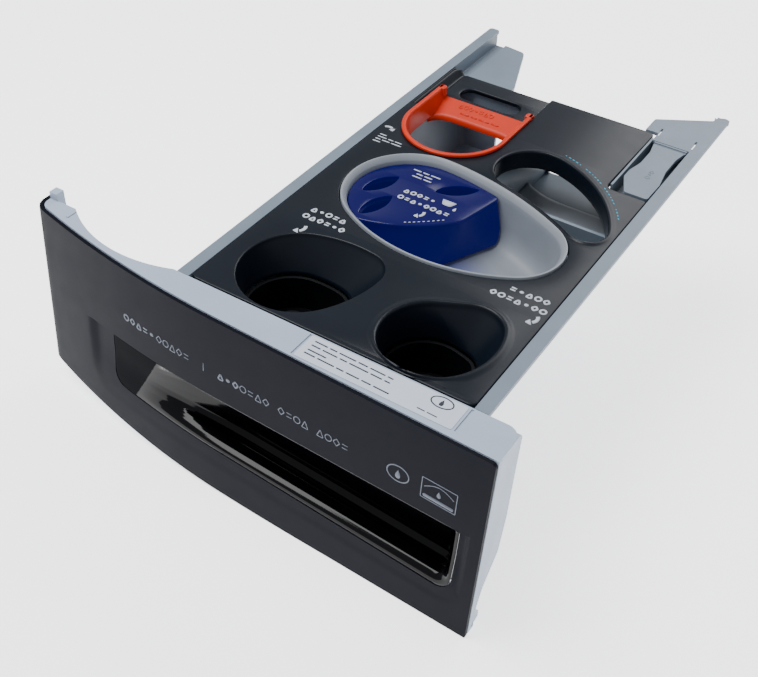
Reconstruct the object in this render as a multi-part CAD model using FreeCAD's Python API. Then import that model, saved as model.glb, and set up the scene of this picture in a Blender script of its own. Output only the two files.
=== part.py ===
import FreeCAD, Part
import math
import os

from FreeCAD import Vector

# Detergent drawer of a front load washer, in millimetres.
# While it is built, X = 0 is the middle of the tray, Y = 0 the front edge of the deck
# and Z = 0 the deck and rail tops. At the end everything is moved so that the origin
# is at the bottom centre of the whole drawer.

# ---- overall sizes
deck_width = 154.0          # between the two rails
deck_length = 246.0         # front edge to rear edge of the raised deck
half_deck = deck_width / 2
rail_width = 7.0            # flat top of each rail
left_rail_length = deck_length + 59.0
right_rail_length = deck_length + 37.0
front_height = 107.5        # height of the fascia
front_right = half_deck + 23.0      # X of the fascia's right end
front_left = -half_deck - 95.0      # X where the fascia starts to wrap round its left end
face_y = -20.6              # Y of the face's top edge at X = 0
front_lean = 5.17           # degrees, bottom edge further forward
front_toe = 1.7             # degrees, right end further forward
bow_start = -45.0           # X where the face starts to sweep back
bow_radius = 600.0
wrap_radius = 8.0
corner_radius = 2.5         # the fascia's top right corner

# ---- walls and clearances
wall = 2.0                  # general moulded wall
skin = 2.4                  # fascia panel thickness
gap = 0.35                  # between bodies that part
fit_gap = 0.2               # between pieces that stay together

# ---- cover
cover_thick = 2.2
recess_depth = 5.0
recess_right = 66.5 - half_deck
recess_front = deck_length - 50.0
recess_rear = deck_length + 4.0
flank_run = 4.5
flank_gap = 1.2             # between the recess and the cover's left edge
slot_centre = (34.1 - half_deck, deck_length - 15.0)
slot_length = 39.0
slot_radius = 6.7
cup_depth = 18.0            # bleach and softener funnels
funnel_wall = 1.6
prewash_skirt = 10.0
prewash_skirt_wall = 1.8
cover_skirt = 8.0
cover_corner = 3.5

# ---- openings, each an oval of four tangent arcs: (centre 1, r1, centre 2, r2, rear arc, front arc)
wash_x = 50.7 - half_deck
wash_oval = ((wash_x, 117.1), 37.4, (half_deck - 40.4, 108.4), 27.2, 176.0, 92.0)
bleach_oval = ((40.2 - half_deck, 32.0), 29.6, (60.9 - half_deck, 48.7), 14.4, 63.0, 61.0)
bleach_foot = ((38.8 - half_deck, 26.5), 24.0, (49.0 - half_deck, 33.0), 17.0, 63.0, 61.0)
softener_oval = ((half_deck - 36.4, 26.4), 24.8, (half_deck - 26.7, 41.2), 15.9, 900.0, 36.7)
softener_foot = ((half_deck - 38.0, 24.5), 21.8, (half_deck - 29.5, 33.0), 11.5, 900.0, 36.7)
prewash_oval = ((half_deck - 59.7, 169.9), 21.5, (half_deck - 15.5, 140.4), 10.7, 76.0, 157.6)
bridge = 2.6                # strip of cover between the wash rim and the prewash opening

# ---- wash compartment
rim_rise = 1.5
rim_flat = 1.0
rim_slope_in = 3.9
rim_slope_down = 4.5
wash_floor = -28.0
wash_wall_in = 4.2

# ---- pod ring
ring_centre = (36.7 - half_deck, deck_length - 60.0)
ring_radius = 30.8
ring_rear = deck_length - 24.5
ring_rim = 2.6
ring_rim_height = 1.4
ring_depth = 10.0
ring_side_gap = 0.05        # between the ring's funnel and the tub's left wall
ring_taper = 1.6
ring_panel_front = deck_length - 37.0
ring_panel_thick = 1.2

# ---- tray
tub_half = half_deck - 5.5
tub_top = -3.0
tub_straight = 9.0          # upright part of the tub wall, below it the wall tapers
front_box_depth = 60.0
rear_box_depth = 46.0
front_box_half = tub_half - 11.5
rear_box_half = tub_half - 6.5
front_box_rear = 69.0
tub_front = -2.4
tub_rear = deck_length - 5.0
rear_box_front = 153.0
centre_wall_x = half_deck - 72.0
rear_wall_x = 70.5 - half_deck
divider_top = -8.0
outlet_width = 32.0         # of each outlet in the tub's rear wall
outlet_top = -18.0
right_outlet_top = -26.0
rail_thick = 2.0
runner_front = -0.6
rail_drop = 9.0
ledge_level = -9.0
step_height = 0.8

# ---- release tab
tab_left = half_deck - 20.0
tab_right = half_deck - 0.6
tab_hinge = deck_length - 8.0
tab_front = tab_hinge - 55.7
tab_thick = 2.0
tab_waist = 2.2
tab_gap = 0.5
tab_room = 3.0              # between the tab and the side of its pocket
tab_pull = 2.0              # between the tab and the front of its pocket
tab_groove = 0.7
cheek_wall = 1.2            # upright wall between the tab's pocket and the cover
rib_height = 2.0
rib_thick = 1.6
rib_pitch = 4.5

# ---- liquid detergent insert
insert_top = -3.3
insert_thick = 1.8
insert_bottom = -25.8
insert_edge = ((wash_x - 19.7, 86.0), (wash_x + 14.3, 99.5), (wash_x + 30.3, 115.5), (wash_x + 36.8, 146.0))
insert_inset = 2.6
insert_seat = 0.4           # how far the insert's top stands in from the wash rim's slope
grip_length = 24.5
grip_width = 7.6
grips = ((wash_x - 21.3, 120.2, 67.0), (wash_x - 13.1, 102.4, 76.0), (wash_x + 15.3, 137.4, 38.0))

# ---- siphon cups
siphon_room = 0.6           # between a siphon cup and the funnel it lifts out through
siphon_top = -cup_depth - 1.0
siphon_floor = siphon_top - 21.0
siphon_wall = 1.6
siphon_tower_radius = 7.5
siphon_tower_top = siphon_top - 9.0
siphon_foot_room = 4.0
siphon_inlet = 2.0          # half the width of the opening in a tower's foot
post_radius = 4.0
post_bore = 2.5
post_top = siphon_tower_top - 4.0

# ---- handle
handle_left = -half_deck - 42.5
handle_right = half_deck + 11.5
handle_top = -47.0
handle_bottom = -85.0
handle_rise = 8.4           # how much higher the bottom edge is at the left end
handle_corner = 8.0
handle_depth = 19.0
handle_wall = 2.0
ramp_start = handle_left + 16.5
pocket_left = handle_left + 81.5
lip_depth = 7.0
lip_height = 10.0

# ---- carrier
shoulder_depth = 6.2        # the carrier's top behind the face, at its narrowest
end_depth = 13.5            # the same near its left end
hook_size = 5.0             # the hook at the carrier's left end
hook_height = 4.0
carrier_wall = 2.4
label_left = half_deck - 81.4
label_right = half_deck - 1.8
label_front = -16.8
label_size_y = 15.0
label_thick = 0.25
groove_depth = 0.6
groove_width = 1.2

# ---- fasteners
fascia_screw_radius = 2.0
fascia_screw_head = 4.2
fascia_screw_head_height = 2.4
fascia_screw_drive = 1.2
fascia_boss_radius = 4.5
fascia_screw_x = half_deck - 25.0
fascia_screw_places = [(x, z) for z in (-14.0, -34.0) for x in (-fascia_screw_x, fascia_screw_x)]

os.makedirs("parts", exist_ok=True)
rad = math.radians
lean_shift = math.tan(rad(front_lean))
parts = {}


# ---------------------------------------------------------------- shapes

def box(x0, x1, y0, y1, z0, z1):
    return Part.makeBox(x1 - x0, y1 - y0, z1 - z0, Vector(x0, y0, z0))


def prism(wire, depth):
    return Part.Face(wire).extrude(Vector(0, 0, depth))


def loft(lower, upper):
    return Part.makeLoft([lower, upper], True, True)


def fuse(shapes):
    return shapes[0].multiFuse(shapes[1:]).removeSplitter()


def arc(start, middle, end):
    return Part.Arc(start, middle, end).toShape()


def rounded(points, radii, z):
    """A closed outline with each corner turned by its own radius."""
    edges = []
    count = len(points)
    ends = []
    for i, (point, radius) in enumerate(zip(points, radii)):
        here = Vector(point[0], point[1], z)
        before = Vector(points[i - 1][0], points[i - 1][1], z) - here
        after = Vector(points[(i + 1) % count][0], points[(i + 1) % count][1], z) - here
        before.normalize()
        after.normalize()
        half = math.acos(max(-1.0, min(1.0, before.dot(after)))) / 2
        run = radius / math.tan(half) if radius else 0.0
        bisector = (before + after).normalize() if radius else Vector(0, 0, 0)
        top = here + bisector * (radius / math.sin(half) - radius) if radius else here
        ends.append((here + before * run, top, here + after * run, radius))
    for i, (start, top, end, radius) in enumerate(ends):
        if radius:
            edges.append(arc(start, top, end))
        following = ends[(i + 1) % count][0]
        if (following - end).Length > 1e-6:
            edges.append(Part.LineSegment(end, following).toShape())
    return Part.Wire(edges)


def rectangle(x0, x1, y0, y1, radius, z):
    return rounded(((x0, y0), (x1, y0), (x1, y1), (x0, y1)), (radius,) * 4, z)


def oval(shape, grow, z):
    """Two circles joined by two large arcs that touch both, all grown outward."""
    (x1, y1), r1, (x2, y2), r2, r_rear, r_front = shape
    first, second = Vector(x1, y1, z), Vector(x2, y2, z)
    r1, r2 = r1 + grow, r2 + grow
    along = second - first
    span = along.Length
    along.normalize()
    across = Vector(-along.y, along.x, 0)
    joins = []
    for radius, side in ((r_rear + grow, 1), (r_front + grow, -1)):
        to_first, to_second = radius - r1, radius - r2
        reach = (to_first ** 2 - to_second ** 2 + span ** 2) / (2 * span)
        drop = math.sqrt(to_first ** 2 - reach ** 2)
        centre = first + along * reach - across * (side * drop)
        touch_1 = centre + (first - centre).normalize() * radius
        touch_2 = centre + (second - centre).normalize() * radius
        middle = centre + ((touch_1 + touch_2) * 0.5 - centre).normalize() * radius
        joins.append((touch_1, middle, touch_2))
    (rear_1, rear_mid, rear_2), (front_1, front_mid, front_2) = joins
    return Part.Wire([
        arc(rear_1, rear_mid, rear_2),
        arc(rear_2, second + along * r2, front_2),
        arc(front_2, front_mid, front_1),
        arc(front_1, first - along * r1, rear_1),
    ])


def face_path(inward, wrapped=True):
    """The fascia's plan line, moved inward from its front face, from the right end to the left."""
    toe = rad(front_toe)
    back = Vector(math.sin(toe), math.cos(toe), 0)
    start = Vector(front_right, face_y - math.tan(toe) * front_right, 0) + back * inward
    bend = Vector(bow_start, face_y - math.tan(toe) * bow_start, 0)
    centre = bend + back * bow_radius

    def on_bow(angle, radius):
        turned = FreeCAD.Rotation(Vector(0, 0, 1), -angle).multVec(back * -1)
        return centre + turned * radius

    sweep = math.degrees(math.asin((bow_start - front_left) / bow_radius))
    radius = bow_radius - inward
    bend_in, bow_end = bend + back * inward, on_bow(sweep, radius)
    edges = [Part.LineSegment(start, bend_in).toShape(), arc(bend_in, on_bow(sweep / 2, radius), bow_end)]
    if not wrapped:
        return edges, start, bow_end
    wrap_centre = on_bow(sweep, bow_radius - wrap_radius)
    left = Vector(-1, 0, 0)
    middle = (on_bow(sweep, 1.0) - centre + left).normalize()
    wrap_end = wrap_centre + left * (wrap_radius - inward)
    edges.append(arc(bow_end, wrap_centre + middle * (wrap_radius - inward), wrap_end))
    return edges, start, wrap_end


def face_y_at(x):
    """Y of the face's top edge at a given X."""
    flat = face_y - math.tan(rad(front_toe)) * x
    run = max(bow_start - x, 0.0)
    return flat + run ** 2 / (2 * bow_radius)


def leaning_band(outer, inner, z0, z1, tail):
    """A curved plate parallel to the face, between two depths and two heights.

    With a tail it wraps round the left end and runs straight back by that length."""
    edges_out, start_out, end_out = face_path(outer, tail > 0)
    edges_in, start_in, end_in = face_path(inner, tail > 0)
    joints = [Part.LineSegment(start_in, start_out).toShape()]
    if tail > 0:
        tail_out, tail_in = end_out + Vector(0, tail, 0), end_in + Vector(0, tail, 0)
        joints += [Part.LineSegment(end_out, tail_out).toShape(),
                   Part.LineSegment(tail_in, end_in).toShape()]
        end_out, end_in = tail_out, tail_in
    joints.append(Part.LineSegment(end_out, end_in).toShape())
    wire = Part.Wire(Part.__sortEdges__(edges_out + edges_in + joints))
    wire.translate(Vector(0, z0 * lean_shift, z0))
    return Part.Face(wire).extrude(Vector(0, (z1 - z0) * lean_shift, z1 - z0))


def front_cut(points, radii, y0, y1):
    """A prism along Y whose outline is given in X and Z, to cut the fascia with."""
    wire = rounded(points, radii, 0)
    wire.rotate(Vector(0, 0, 0), Vector(1, 0, 0), 90)
    wire.translate(Vector(0, y0, 0))
    return Part.Face(wire).extrude(Vector(0, y1 - y0, 0))


def side_plate(points, radii, x0, x1):
    """A prism along X whose outline is given in Y and Z."""
    wire = rounded(points, radii, 0)
    wire.rotate(Vector(0, 0, 0), Vector(1, 1, 1), 120)
    wire.translate(Vector(x0, 0, 0))
    return Part.Face(wire).extrude(Vector(x1 - x0, 0, 0))


def lens(length, width, z, depth):
    """A pointed eye shape of two equal arcs."""
    tip, side = length / 2, width / 2
    right, left = Vector(tip, 0, z), Vector(-tip, 0, z)
    wire = Part.Wire([arc(right, Vector(0, side, z), left), arc(left, Vector(0, -side, z), right)])
    return prism(wire, depth)


def cylinder(radius, x, y, z0, z1):
    return Part.makeCylinder(radius, z1 - z0, Vector(x, y, z0))


def rod_y(radius, x, z, y0, y1):
    return Part.makeCylinder(radius, y1 - y0, Vector(x, y0, z), Vector(0, 1, 0))


# ---------------------------------------------------------------- tray tub

def tapered_box(x0, x1, y0, y1, bottom, narrow, inset):
    """An open box: straight at its top, then narrowing towards its floor."""
    knee = tub_top - tub_straight
    upper = box(x0 + inset, x1 - inset, y0 + inset, y1 - inset, knee, tub_top + inset)
    floor = bottom + inset
    lower = loft(
        rectangle(x0 + narrow + inset, x1 - narrow - inset, y0 + inset, y1 - inset - 2, 5, floor),
        rectangle(x0 + inset, x1 - inset, y0 + inset, y1 - inset, 1, knee))
    return fuse([lower, upper])


def siphon_centre(foot):
    return foot[0]


def prewash_room():
    """The space that the skirt under the cover's prewash opening needs."""
    low = -prewash_skirt - gap
    return prism(oval(prewash_oval, prewash_skirt_wall + gap, low), -low)


def make_tray_tub():
    knee = tub_top - tub_straight
    front_narrow = tub_half - front_box_half
    rear_narrow = tub_half - rear_box_half
    front = tapered_box(-tub_half, tub_half, tub_front, front_box_rear, -front_box_depth, front_narrow, 0)
    rear = tapered_box(-tub_half, tub_half, rear_box_front, tub_rear, -rear_box_depth, rear_narrow, 0)
    cheeks = [box(side * tub_half - (wall if side > 0 else 0), side * tub_half + (wall if side < 0 else 0),
                  front_box_rear - wall, rear_box_front + wall, wash_floor - wall, tub_top)
              for side in (-1, 1)]
    outer = fuse([front, rear] + cheeks)
    front_void = tapered_box(-tub_half, tub_half, tub_front, front_box_rear, -front_box_depth,
                             front_narrow, wall)
    rear_void = tapered_box(-tub_half, tub_half, rear_box_front, tub_rear, -rear_box_depth,
                            rear_narrow, wall)
    outlet = box(rear_wall_x - wall - outlet_width, rear_wall_x - wall, tub_rear - 6, tub_rear + 1,
                 -rear_box_depth - 1, outlet_top)
    outlet_right = box(rear_wall_x + wall * 2, rear_wall_x + 12 + outlet_width, tub_rear - 6, tub_rear + 1,
                       -rear_box_depth + wall, right_outlet_top)
    tub = outer.cut(front_void).cut(rear_void).cut(outlet).cut(outlet_right)
    middle_wall = box(centre_wall_x, centre_wall_x + wall, tub_front + wall, front_box_rear - wall,
                      -front_box_depth + wall, tub_top)
    rear_divider = box(rear_wall_x, rear_wall_x + wall, rear_box_front + wall, tub_rear - wall,
                       -rear_box_depth + wall, divider_top)
    posts = []
    for foot in (bleach_foot, softener_foot):
        x, y = siphon_centre(foot)
        posts.append(cylinder(post_radius, x, y, -front_box_depth + wall, post_top))
    tub = fuse([tub, middle_wall, rear_divider] + posts)
    for foot in (bleach_foot, softener_foot):
        x, y = siphon_centre(foot)
        tub = tub.cut(cylinder(post_bore, x, y, -front_box_depth - 1, post_top + 1))
    pocket = box(tab_left - tab_room, tub_half + 1, tab_front - tab_pull, tub_rear + 1, knee, tub_top + 1)
    under_recess = box(-tub_half - 1, recess_right + wall + gap, recess_front - wall - gap, tub_rear + 1,
                       -recess_depth - cover_thick - gap, tub_top + 1)
    tub = tub.cut(pocket).cut(under_recess).cut(prewash_room())
    for x, z in fascia_screw_places:
        tub = tub.cut(rod_y(fascia_screw_radius + fit_gap, x, z, tub_front - 1, tub_front + wall + 1))
    wash_room = prism(oval(wash_oval, fit_gap, wash_floor - wall - 1), rim_rise - wash_floor + wall + 2)
    return tub.cut(wash_room)


# ---------------------------------------------------------------- wash compartment

def make_wash_compartment():
    collar_bottom = rim_rise - rim_slope_down
    outer = prism(oval(wash_oval, 0.0, collar_bottom - wall), rim_rise - collar_bottom + wall)
    body = prism(oval(wash_oval, wall - wash_wall_in, wash_floor - wall), rim_rise - wash_floor)
    slope = loft(oval(wash_oval, -rim_slope_in, collar_bottom), oval(wash_oval, -rim_flat, rim_rise))
    bore = prism(oval(wash_oval, -wash_wall_in, wash_floor), rim_rise - wash_floor + 1)
    well = bore.common(box(-tub_half, tub_half, front_box_rear, rear_box_front + 10, wash_floor,
                           collar_bottom + 0.01))
    slab = box(-tub_half + wall, tub_half - wall, front_box_rear, rear_box_front,
               wash_floor - wall, wash_floor)
    return fuse([outer, body, slab]).cut(slope).cut(well)


# ---------------------------------------------------------------- runners

def make_left_runner():
    flange = box(-half_deck - rail_width, -half_deck, runner_front, left_rail_length, -rail_thick, 0)
    flange = flange.makeFillet(2.0, [edge for edge in flange.Edges
                                     if abs(edge.BoundBox.YMin - left_rail_length) < 0.01
                                     and edge.BoundBox.ZLength > 1])
    web = box(-half_deck - wall, -half_deck, runner_front, left_rail_length - 3, -rail_drop, 0)
    ledge = box(-half_deck - wall, -tub_half, 0, left_rail_length - 3, ledge_level - wall, ledge_level)
    plate = prism(rounded(((-tub_half, tub_rear), (38.0 - half_deck, tub_rear),
                           (35.6 - half_deck, tub_rear + 18), (20.1 - half_deck, left_rail_length - 3.5),
                           (-tub_half, left_rail_length - 1.5)), (0, 0, 3.0, 4.0, 0), ledge_level - wall),
                  wall + step_height)
    return fuse([flange, web, ledge, plate])


def tab_outline(inset, z):
    """The release tab's plan outline; a positive inset makes it smaller."""
    left, right, front = tab_left + inset, tab_right - inset, tab_front + inset
    rear = tab_hinge - inset
    waist = tab_waist
    points = ((left + 6.0, front), (right - 0.4, front), (right, tab_front + 15.7),
              (right - waist, tab_front + 29.7), (right - waist, tab_hinge - 12),
              (right, rear), (left, rear), (left + waist, tab_hinge - 12),
              (left + waist, tab_front + 30.7), (left, tab_front + 20.7), (left, tab_front + 13.7))
    radii = (2.0, 1.5, 0, 6.0, 6.0, 0, 0, 6.0, 6.0, 3.0, 4.0)
    return rounded(points, radii, z)


def make_right_runner():
    flange = box(half_deck, half_deck + rail_width, runner_front, right_rail_length, -rail_thick, 0)
    web = box(half_deck, half_deck + wall, runner_front, tub_rear, -rail_drop, 0)
    ledge = box(tub_half, half_deck + wall, 0, tub_rear, ledge_level - wall, ledge_level)
    knee = tub_top - tub_straight
    pocket_floor = box(tab_left - tab_room + fit_gap, half_deck, tab_front - tab_pull + fit_gap, tub_rear,
                       knee, knee + wall)
    plate_left = tab_left - 9.1
    pocket_side = tab_left - 1.6
    rear_plate = prism(rounded(((plate_left, deck_length + 1.0), (half_deck + 1, deck_length + 1.0),
                                (half_deck + 1, right_rail_length - 3.0),
                                (half_deck + 2, right_rail_length - 3.8), (plate_left, deck_length + 14.3)),
                               (0, 0, 0, 3.0, 2.0), -rail_thick), rail_thick)
    apron = box(pocket_side, half_deck + 1, tab_hinge + tab_gap, deck_length + 2.0, -rail_thick, 0)
    riser = box(pocket_side, half_deck, tub_rear - wall, tub_rear, knee, -rail_thick)
    cheek = box(pocket_side - cheek_wall, pocket_side, tab_front + 3.0, tub_rear, knee, -0.4)
    bump = cylinder(3.0, half_deck + rail_width - 2.6, right_rail_length - 2.0, -rail_thick, 0)
    runner = fuse([flange, web, ledge, pocket_floor, rear_plate, apron, riser, cheek, bump])
    slots = [rectangle(x, x + 1.2, y, y + length, 0.55, -rail_thick - 1)
             for x, y, length in ((tab_left - 1.8, tab_hinge + 6.6, 8.0),
                                  (tab_right - 0.2, tab_hinge + 3.5, 9.0))]
    for slot in slots:
        runner = runner.cut(prism(slot, rail_thick + 2))
    return runner.cut(prewash_room())


def make_release_tab():
    plate = prism(tab_outline(0, -tab_thick), tab_thick)
    ribs = [box(x, x + rib_thick, tab_front + 5, tab_hinge - 12, -tab_thick - rib_height, -tab_thick)
            for x in (tab_left + 7.0, tab_left + 7.0 + rib_pitch)]
    groove = box(tab_left - 1, tab_right + 1, tab_hinge - 3.2, tab_hinge - 1.2, -tab_groove, 1)
    return fuse([plate] + ribs).cut(groove)


# ---------------------------------------------------------------- cover

def ring_outline(grow, rear, z):
    """The D shape of the pod ring: a half circle at the front and straight sides to the rear."""
    x, y = ring_centre
    radius = ring_radius + grow
    left, right = Vector(x - radius, y, z), Vector(x + radius, y, z)
    rear_left, rear_right = Vector(x - radius, rear, z), Vector(x + radius, rear, z)
    return Part.Wire([
        arc(left, Vector(x, y - radius, z), right),
        Part.LineSegment(right, rear_right).toShape(),
        Part.LineSegment(rear_right, rear_left).toShape(),
        Part.LineSegment(rear_left, left).toShape(),
    ])


def make_cover():
    side = half_deck - gap
    plate = prism(rounded(((-side, gap), (side, gap), (side, deck_length), (-side, deck_length)),
                          (cover_corner, cover_corner, 0, 0), -cover_thick), cover_thick)
    recess_left = -side + flank_gap
    floor_left = recess_left + flank_run
    recess_floor = -recess_depth
    recess = front_cut(((recess_left - 0.05, 0.05), (recess_right, 0.05), (recess_right, recess_floor),
                        (floor_left, recess_floor)), (0, 0, 1.0, 2.0), recess_front, recess_rear + 1)
    recess_shell = front_cut(((recess_left - 1.1, 0), (recess_right + wall, 0),
                              (recess_right + wall, recess_floor - cover_thick),
                              (floor_left - 1.5, recess_floor - cover_thick)), (0,) * 4,
                             recess_front - wall, recess_rear)
    rear_lip = box(recess_right, side, deck_length - wall, deck_length, -cover_skirt, 0)
    funnels = ((bleach_foot, bleach_oval), (softener_foot, softener_oval))
    skirts = [loft(oval(foot, funnel_wall, -cup_depth), oval(mouth, funnel_wall, -cover_thick))
              for foot, mouth in funnels]
    skirts.append(prism(oval(prewash_oval, prewash_skirt_wall, -prewash_skirt), prewash_skirt))
    cover = fuse([plate, recess_shell, rear_lip] + skirts).cut(recess)
    cups = [loft(oval(foot, 0, -cup_depth - 0.01), oval(mouth, 0, 0.01)) for foot, mouth in funnels]
    wash_wall = prism(oval(wash_oval, bridge, -prewash_skirt - 1), prewash_skirt + 2)
    prewash = prism(oval(prewash_oval, 0, -prewash_skirt - 1), prewash_skirt + 2).cut(wash_wall)
    wash = prism(oval(wash_oval, gap, -cup_depth), cup_depth + 1)
    ring_hole = prism(ring_outline(-ring_rim * 0.5, ring_rear - 0.6, -20), 21)
    x, y = slot_centre
    slot = prism(rectangle(x - slot_length / 2, x + slot_length / 2, y - slot_radius, y + slot_radius,
                           slot_radius - 0.01, -recess_depth - cover_thick - 1), cover_thick + 2)
    bay_front = tab_front - 1.4
    tab_bay = prism(rounded(((tab_left - 2.2 - cheek_wall, bay_front), (side + 1, bay_front),
                             (side + 1, deck_length + 1), (tab_left - 2.4 - cheek_wall, deck_length + 1)),
                            (4.0, 0, 0, 0), -20), 21)
    for cutter in cups + [prewash, wash, ring_hole, slot, tab_bay]:
        cover = cover.cut(cutter)
    return cover


# ---------------------------------------------------------------- pod ring

def make_pod_ring():
    rim_bottom = gap
    top = rim_bottom + ring_rim_height
    hang = ring_centre[0] + tub_half - wall - ring_side_gap - ring_radius
    rim = prism(ring_outline(0, ring_rear, rim_bottom), ring_rim_height)
    funnel = loft(ring_outline(hang - ring_taper, ring_panel_front + wall, -ring_depth),
                  ring_outline(hang, ring_rear - 1.2, top))
    hole = loft(ring_outline(hang - ring_taper - wall * 0.8, ring_panel_front, -ring_depth - 0.01),
                ring_outline(hang - wall * 0.8, ring_panel_front + 4.0, top + 0.01))
    x = ring_centre[0]
    panel_cut = side_plate(((ring_panel_front, -ring_depth + ring_panel_thick),
                            (ring_rear + 3, -recess_depth + 0.3),
                            (ring_rear + 3, top + 1), (ring_panel_front, top + 1)), (0, 0, 0, 0),
                           x - ring_radius + ring_rim, x + ring_radius - ring_rim)
    panel = side_plate(((ring_panel_front, -ring_depth), (ring_panel_front + 2, -ring_depth),
                        (ring_rear - 1.2, -recess_depth - 1.5), (ring_rear - 1.2, -recess_depth + 0.6),
                        (ring_panel_front, -ring_depth + ring_panel_thick)), (0, 0, 0, 0, 0),
                       x - ring_radius - hang + 0.3, x + ring_radius + hang - 0.3)
    return fuse([fuse([rim, funnel]).cut(hole).cut(panel_cut), panel])


# ---------------------------------------------------------------- liquid insert

def insert_front(inset, z, depth):
    """The region behind the insert's front edge, moved back by an inset."""
    shift = Vector(-0.75, 0.66, 0) * inset
    a, b, c, d = (Vector(x, y, z) + shift for x, y in insert_edge)
    rear = rear_box_front + 20
    back = Vector(-half_deck - 10, rear, z)
    low = Vector(-half_deck - 10, a.y, z)
    far = Vector(d.x + 2, rear, z)
    edges = [arc(a, b, c), Part.LineSegment(c, d).toShape(), Part.LineSegment(d, far).toShape(),
             Part.LineSegment(far, back).toShape(), Part.LineSegment(back, low).toShape(),
             Part.LineSegment(low, a).toShape()]
    return prism(Part.Wire(edges), depth)


def make_liquid_insert():
    seat = -rim_slope_in - gap - insert_seat
    inside = -wash_wall_in - gap
    top_plate = prism(oval(wash_oval, seat, insert_top - insert_thick), insert_thick)
    top_plate = top_plate.common(insert_front(0, insert_top - insert_thick - 1, insert_thick + 2))
    depth = insert_top - insert_bottom
    block = prism(oval(wash_oval, inside, insert_bottom), depth)
    block = block.common(insert_front(insert_inset, insert_bottom - 1, depth + 2))
    hollow = prism(oval(wash_oval, inside - insert_thick, insert_bottom - 1), depth + 1 - insert_thick)
    hollow = hollow.common(insert_front(insert_inset + insert_thick * 1.3, insert_bottom - 2, depth + 4))
    insert = fuse([block, top_plate]).cut(hollow)
    window = box(-half_deck, wash_x - 7.7, 96, rear_box_front, insert_bottom - 1,
                 insert_top - insert_thick - 7)
    insert = insert.cut(window)
    for x, y, angle in grips:
        grip = lens(grip_length, grip_width, insert_top - insert_thick - 1, insert_thick + 2)
        grip.rotate(Vector(0, 0, 0), Vector(0, 0, 1), angle)
        grip.translate(Vector(x, y, 0))
        insert = insert.cut(grip)
    return insert


# ---------------------------------------------------------------- siphons

def make_siphon(foot):
    x, y = siphon_centre(foot)
    cup = prism(oval(foot, -siphon_room, siphon_floor), siphon_top - siphon_floor)
    inside = prism(oval(foot, -siphon_room - siphon_wall, siphon_floor + siphon_wall),
                   siphon_top - siphon_floor)
    tower_bottom = -front_box_depth + wall + siphon_foot_room
    tower = cylinder(siphon_tower_radius, x, y, tower_bottom, siphon_tower_top)
    bore = cylinder(siphon_tower_radius - siphon_wall, x, y, tower_bottom - 1,
                    siphon_tower_top - siphon_wall)
    inlet = box(x - siphon_inlet, x + siphon_inlet, y, y + siphon_tower_radius + 1,
                siphon_floor - 4, siphon_floor - 1)
    return fuse([cup.cut(inside), tower]).cut(bore).cut(inlet)


# ---------------------------------------------------------------- fascia

def handle_outline(inset):
    """The handle opening's outline in X and Z; a positive inset makes it smaller."""
    left, right = handle_left + inset, handle_right - inset
    top, bottom = handle_top - inset, handle_bottom + inset
    points = ((left, bottom + handle_rise), (right, bottom), (right, top), (left, top))
    corner = handle_corner - inset
    return points, (corner, corner, 1.2, 1.2)


def lower_edge_cut(below):
    """What is cut away below the fascia, whose bottom edge rises towards the left end."""
    low = -front_height - below
    rise = 12.0
    a, b, c = Vector(20, -120, low), Vector(-80, -120, low + 2.6), Vector(-190, -120, low + rise + 3)
    floor_left, floor_right = Vector(-190, -120, low - 40), Vector(20, -120, low - 40)
    edges = [arc(a, b, c), Part.LineSegment(c, floor_left).toShape(),
             Part.LineSegment(floor_left, floor_right).toShape(),
             Part.LineSegment(floor_right, a).toShape()]
    return Part.Face(Part.Wire(edges)).extrude(Vector(0, 200, 0))


def make_fascia_panel():
    panel = leaning_band(0, skin, -front_height, 0, 6.0)
    points, radii = handle_outline(0)
    panel = panel.cut(front_cut(points, radii, -60, 30))
    corner = box(front_right - corner_radius, front_right + 10, -60, 60, -corner_radius, 5)
    rounder = rod_y(corner_radius, front_right - corner_radius, -corner_radius, -60, 60)
    return panel.cut(lower_edge_cut(0)).cut(corner.cut(rounder))


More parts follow.
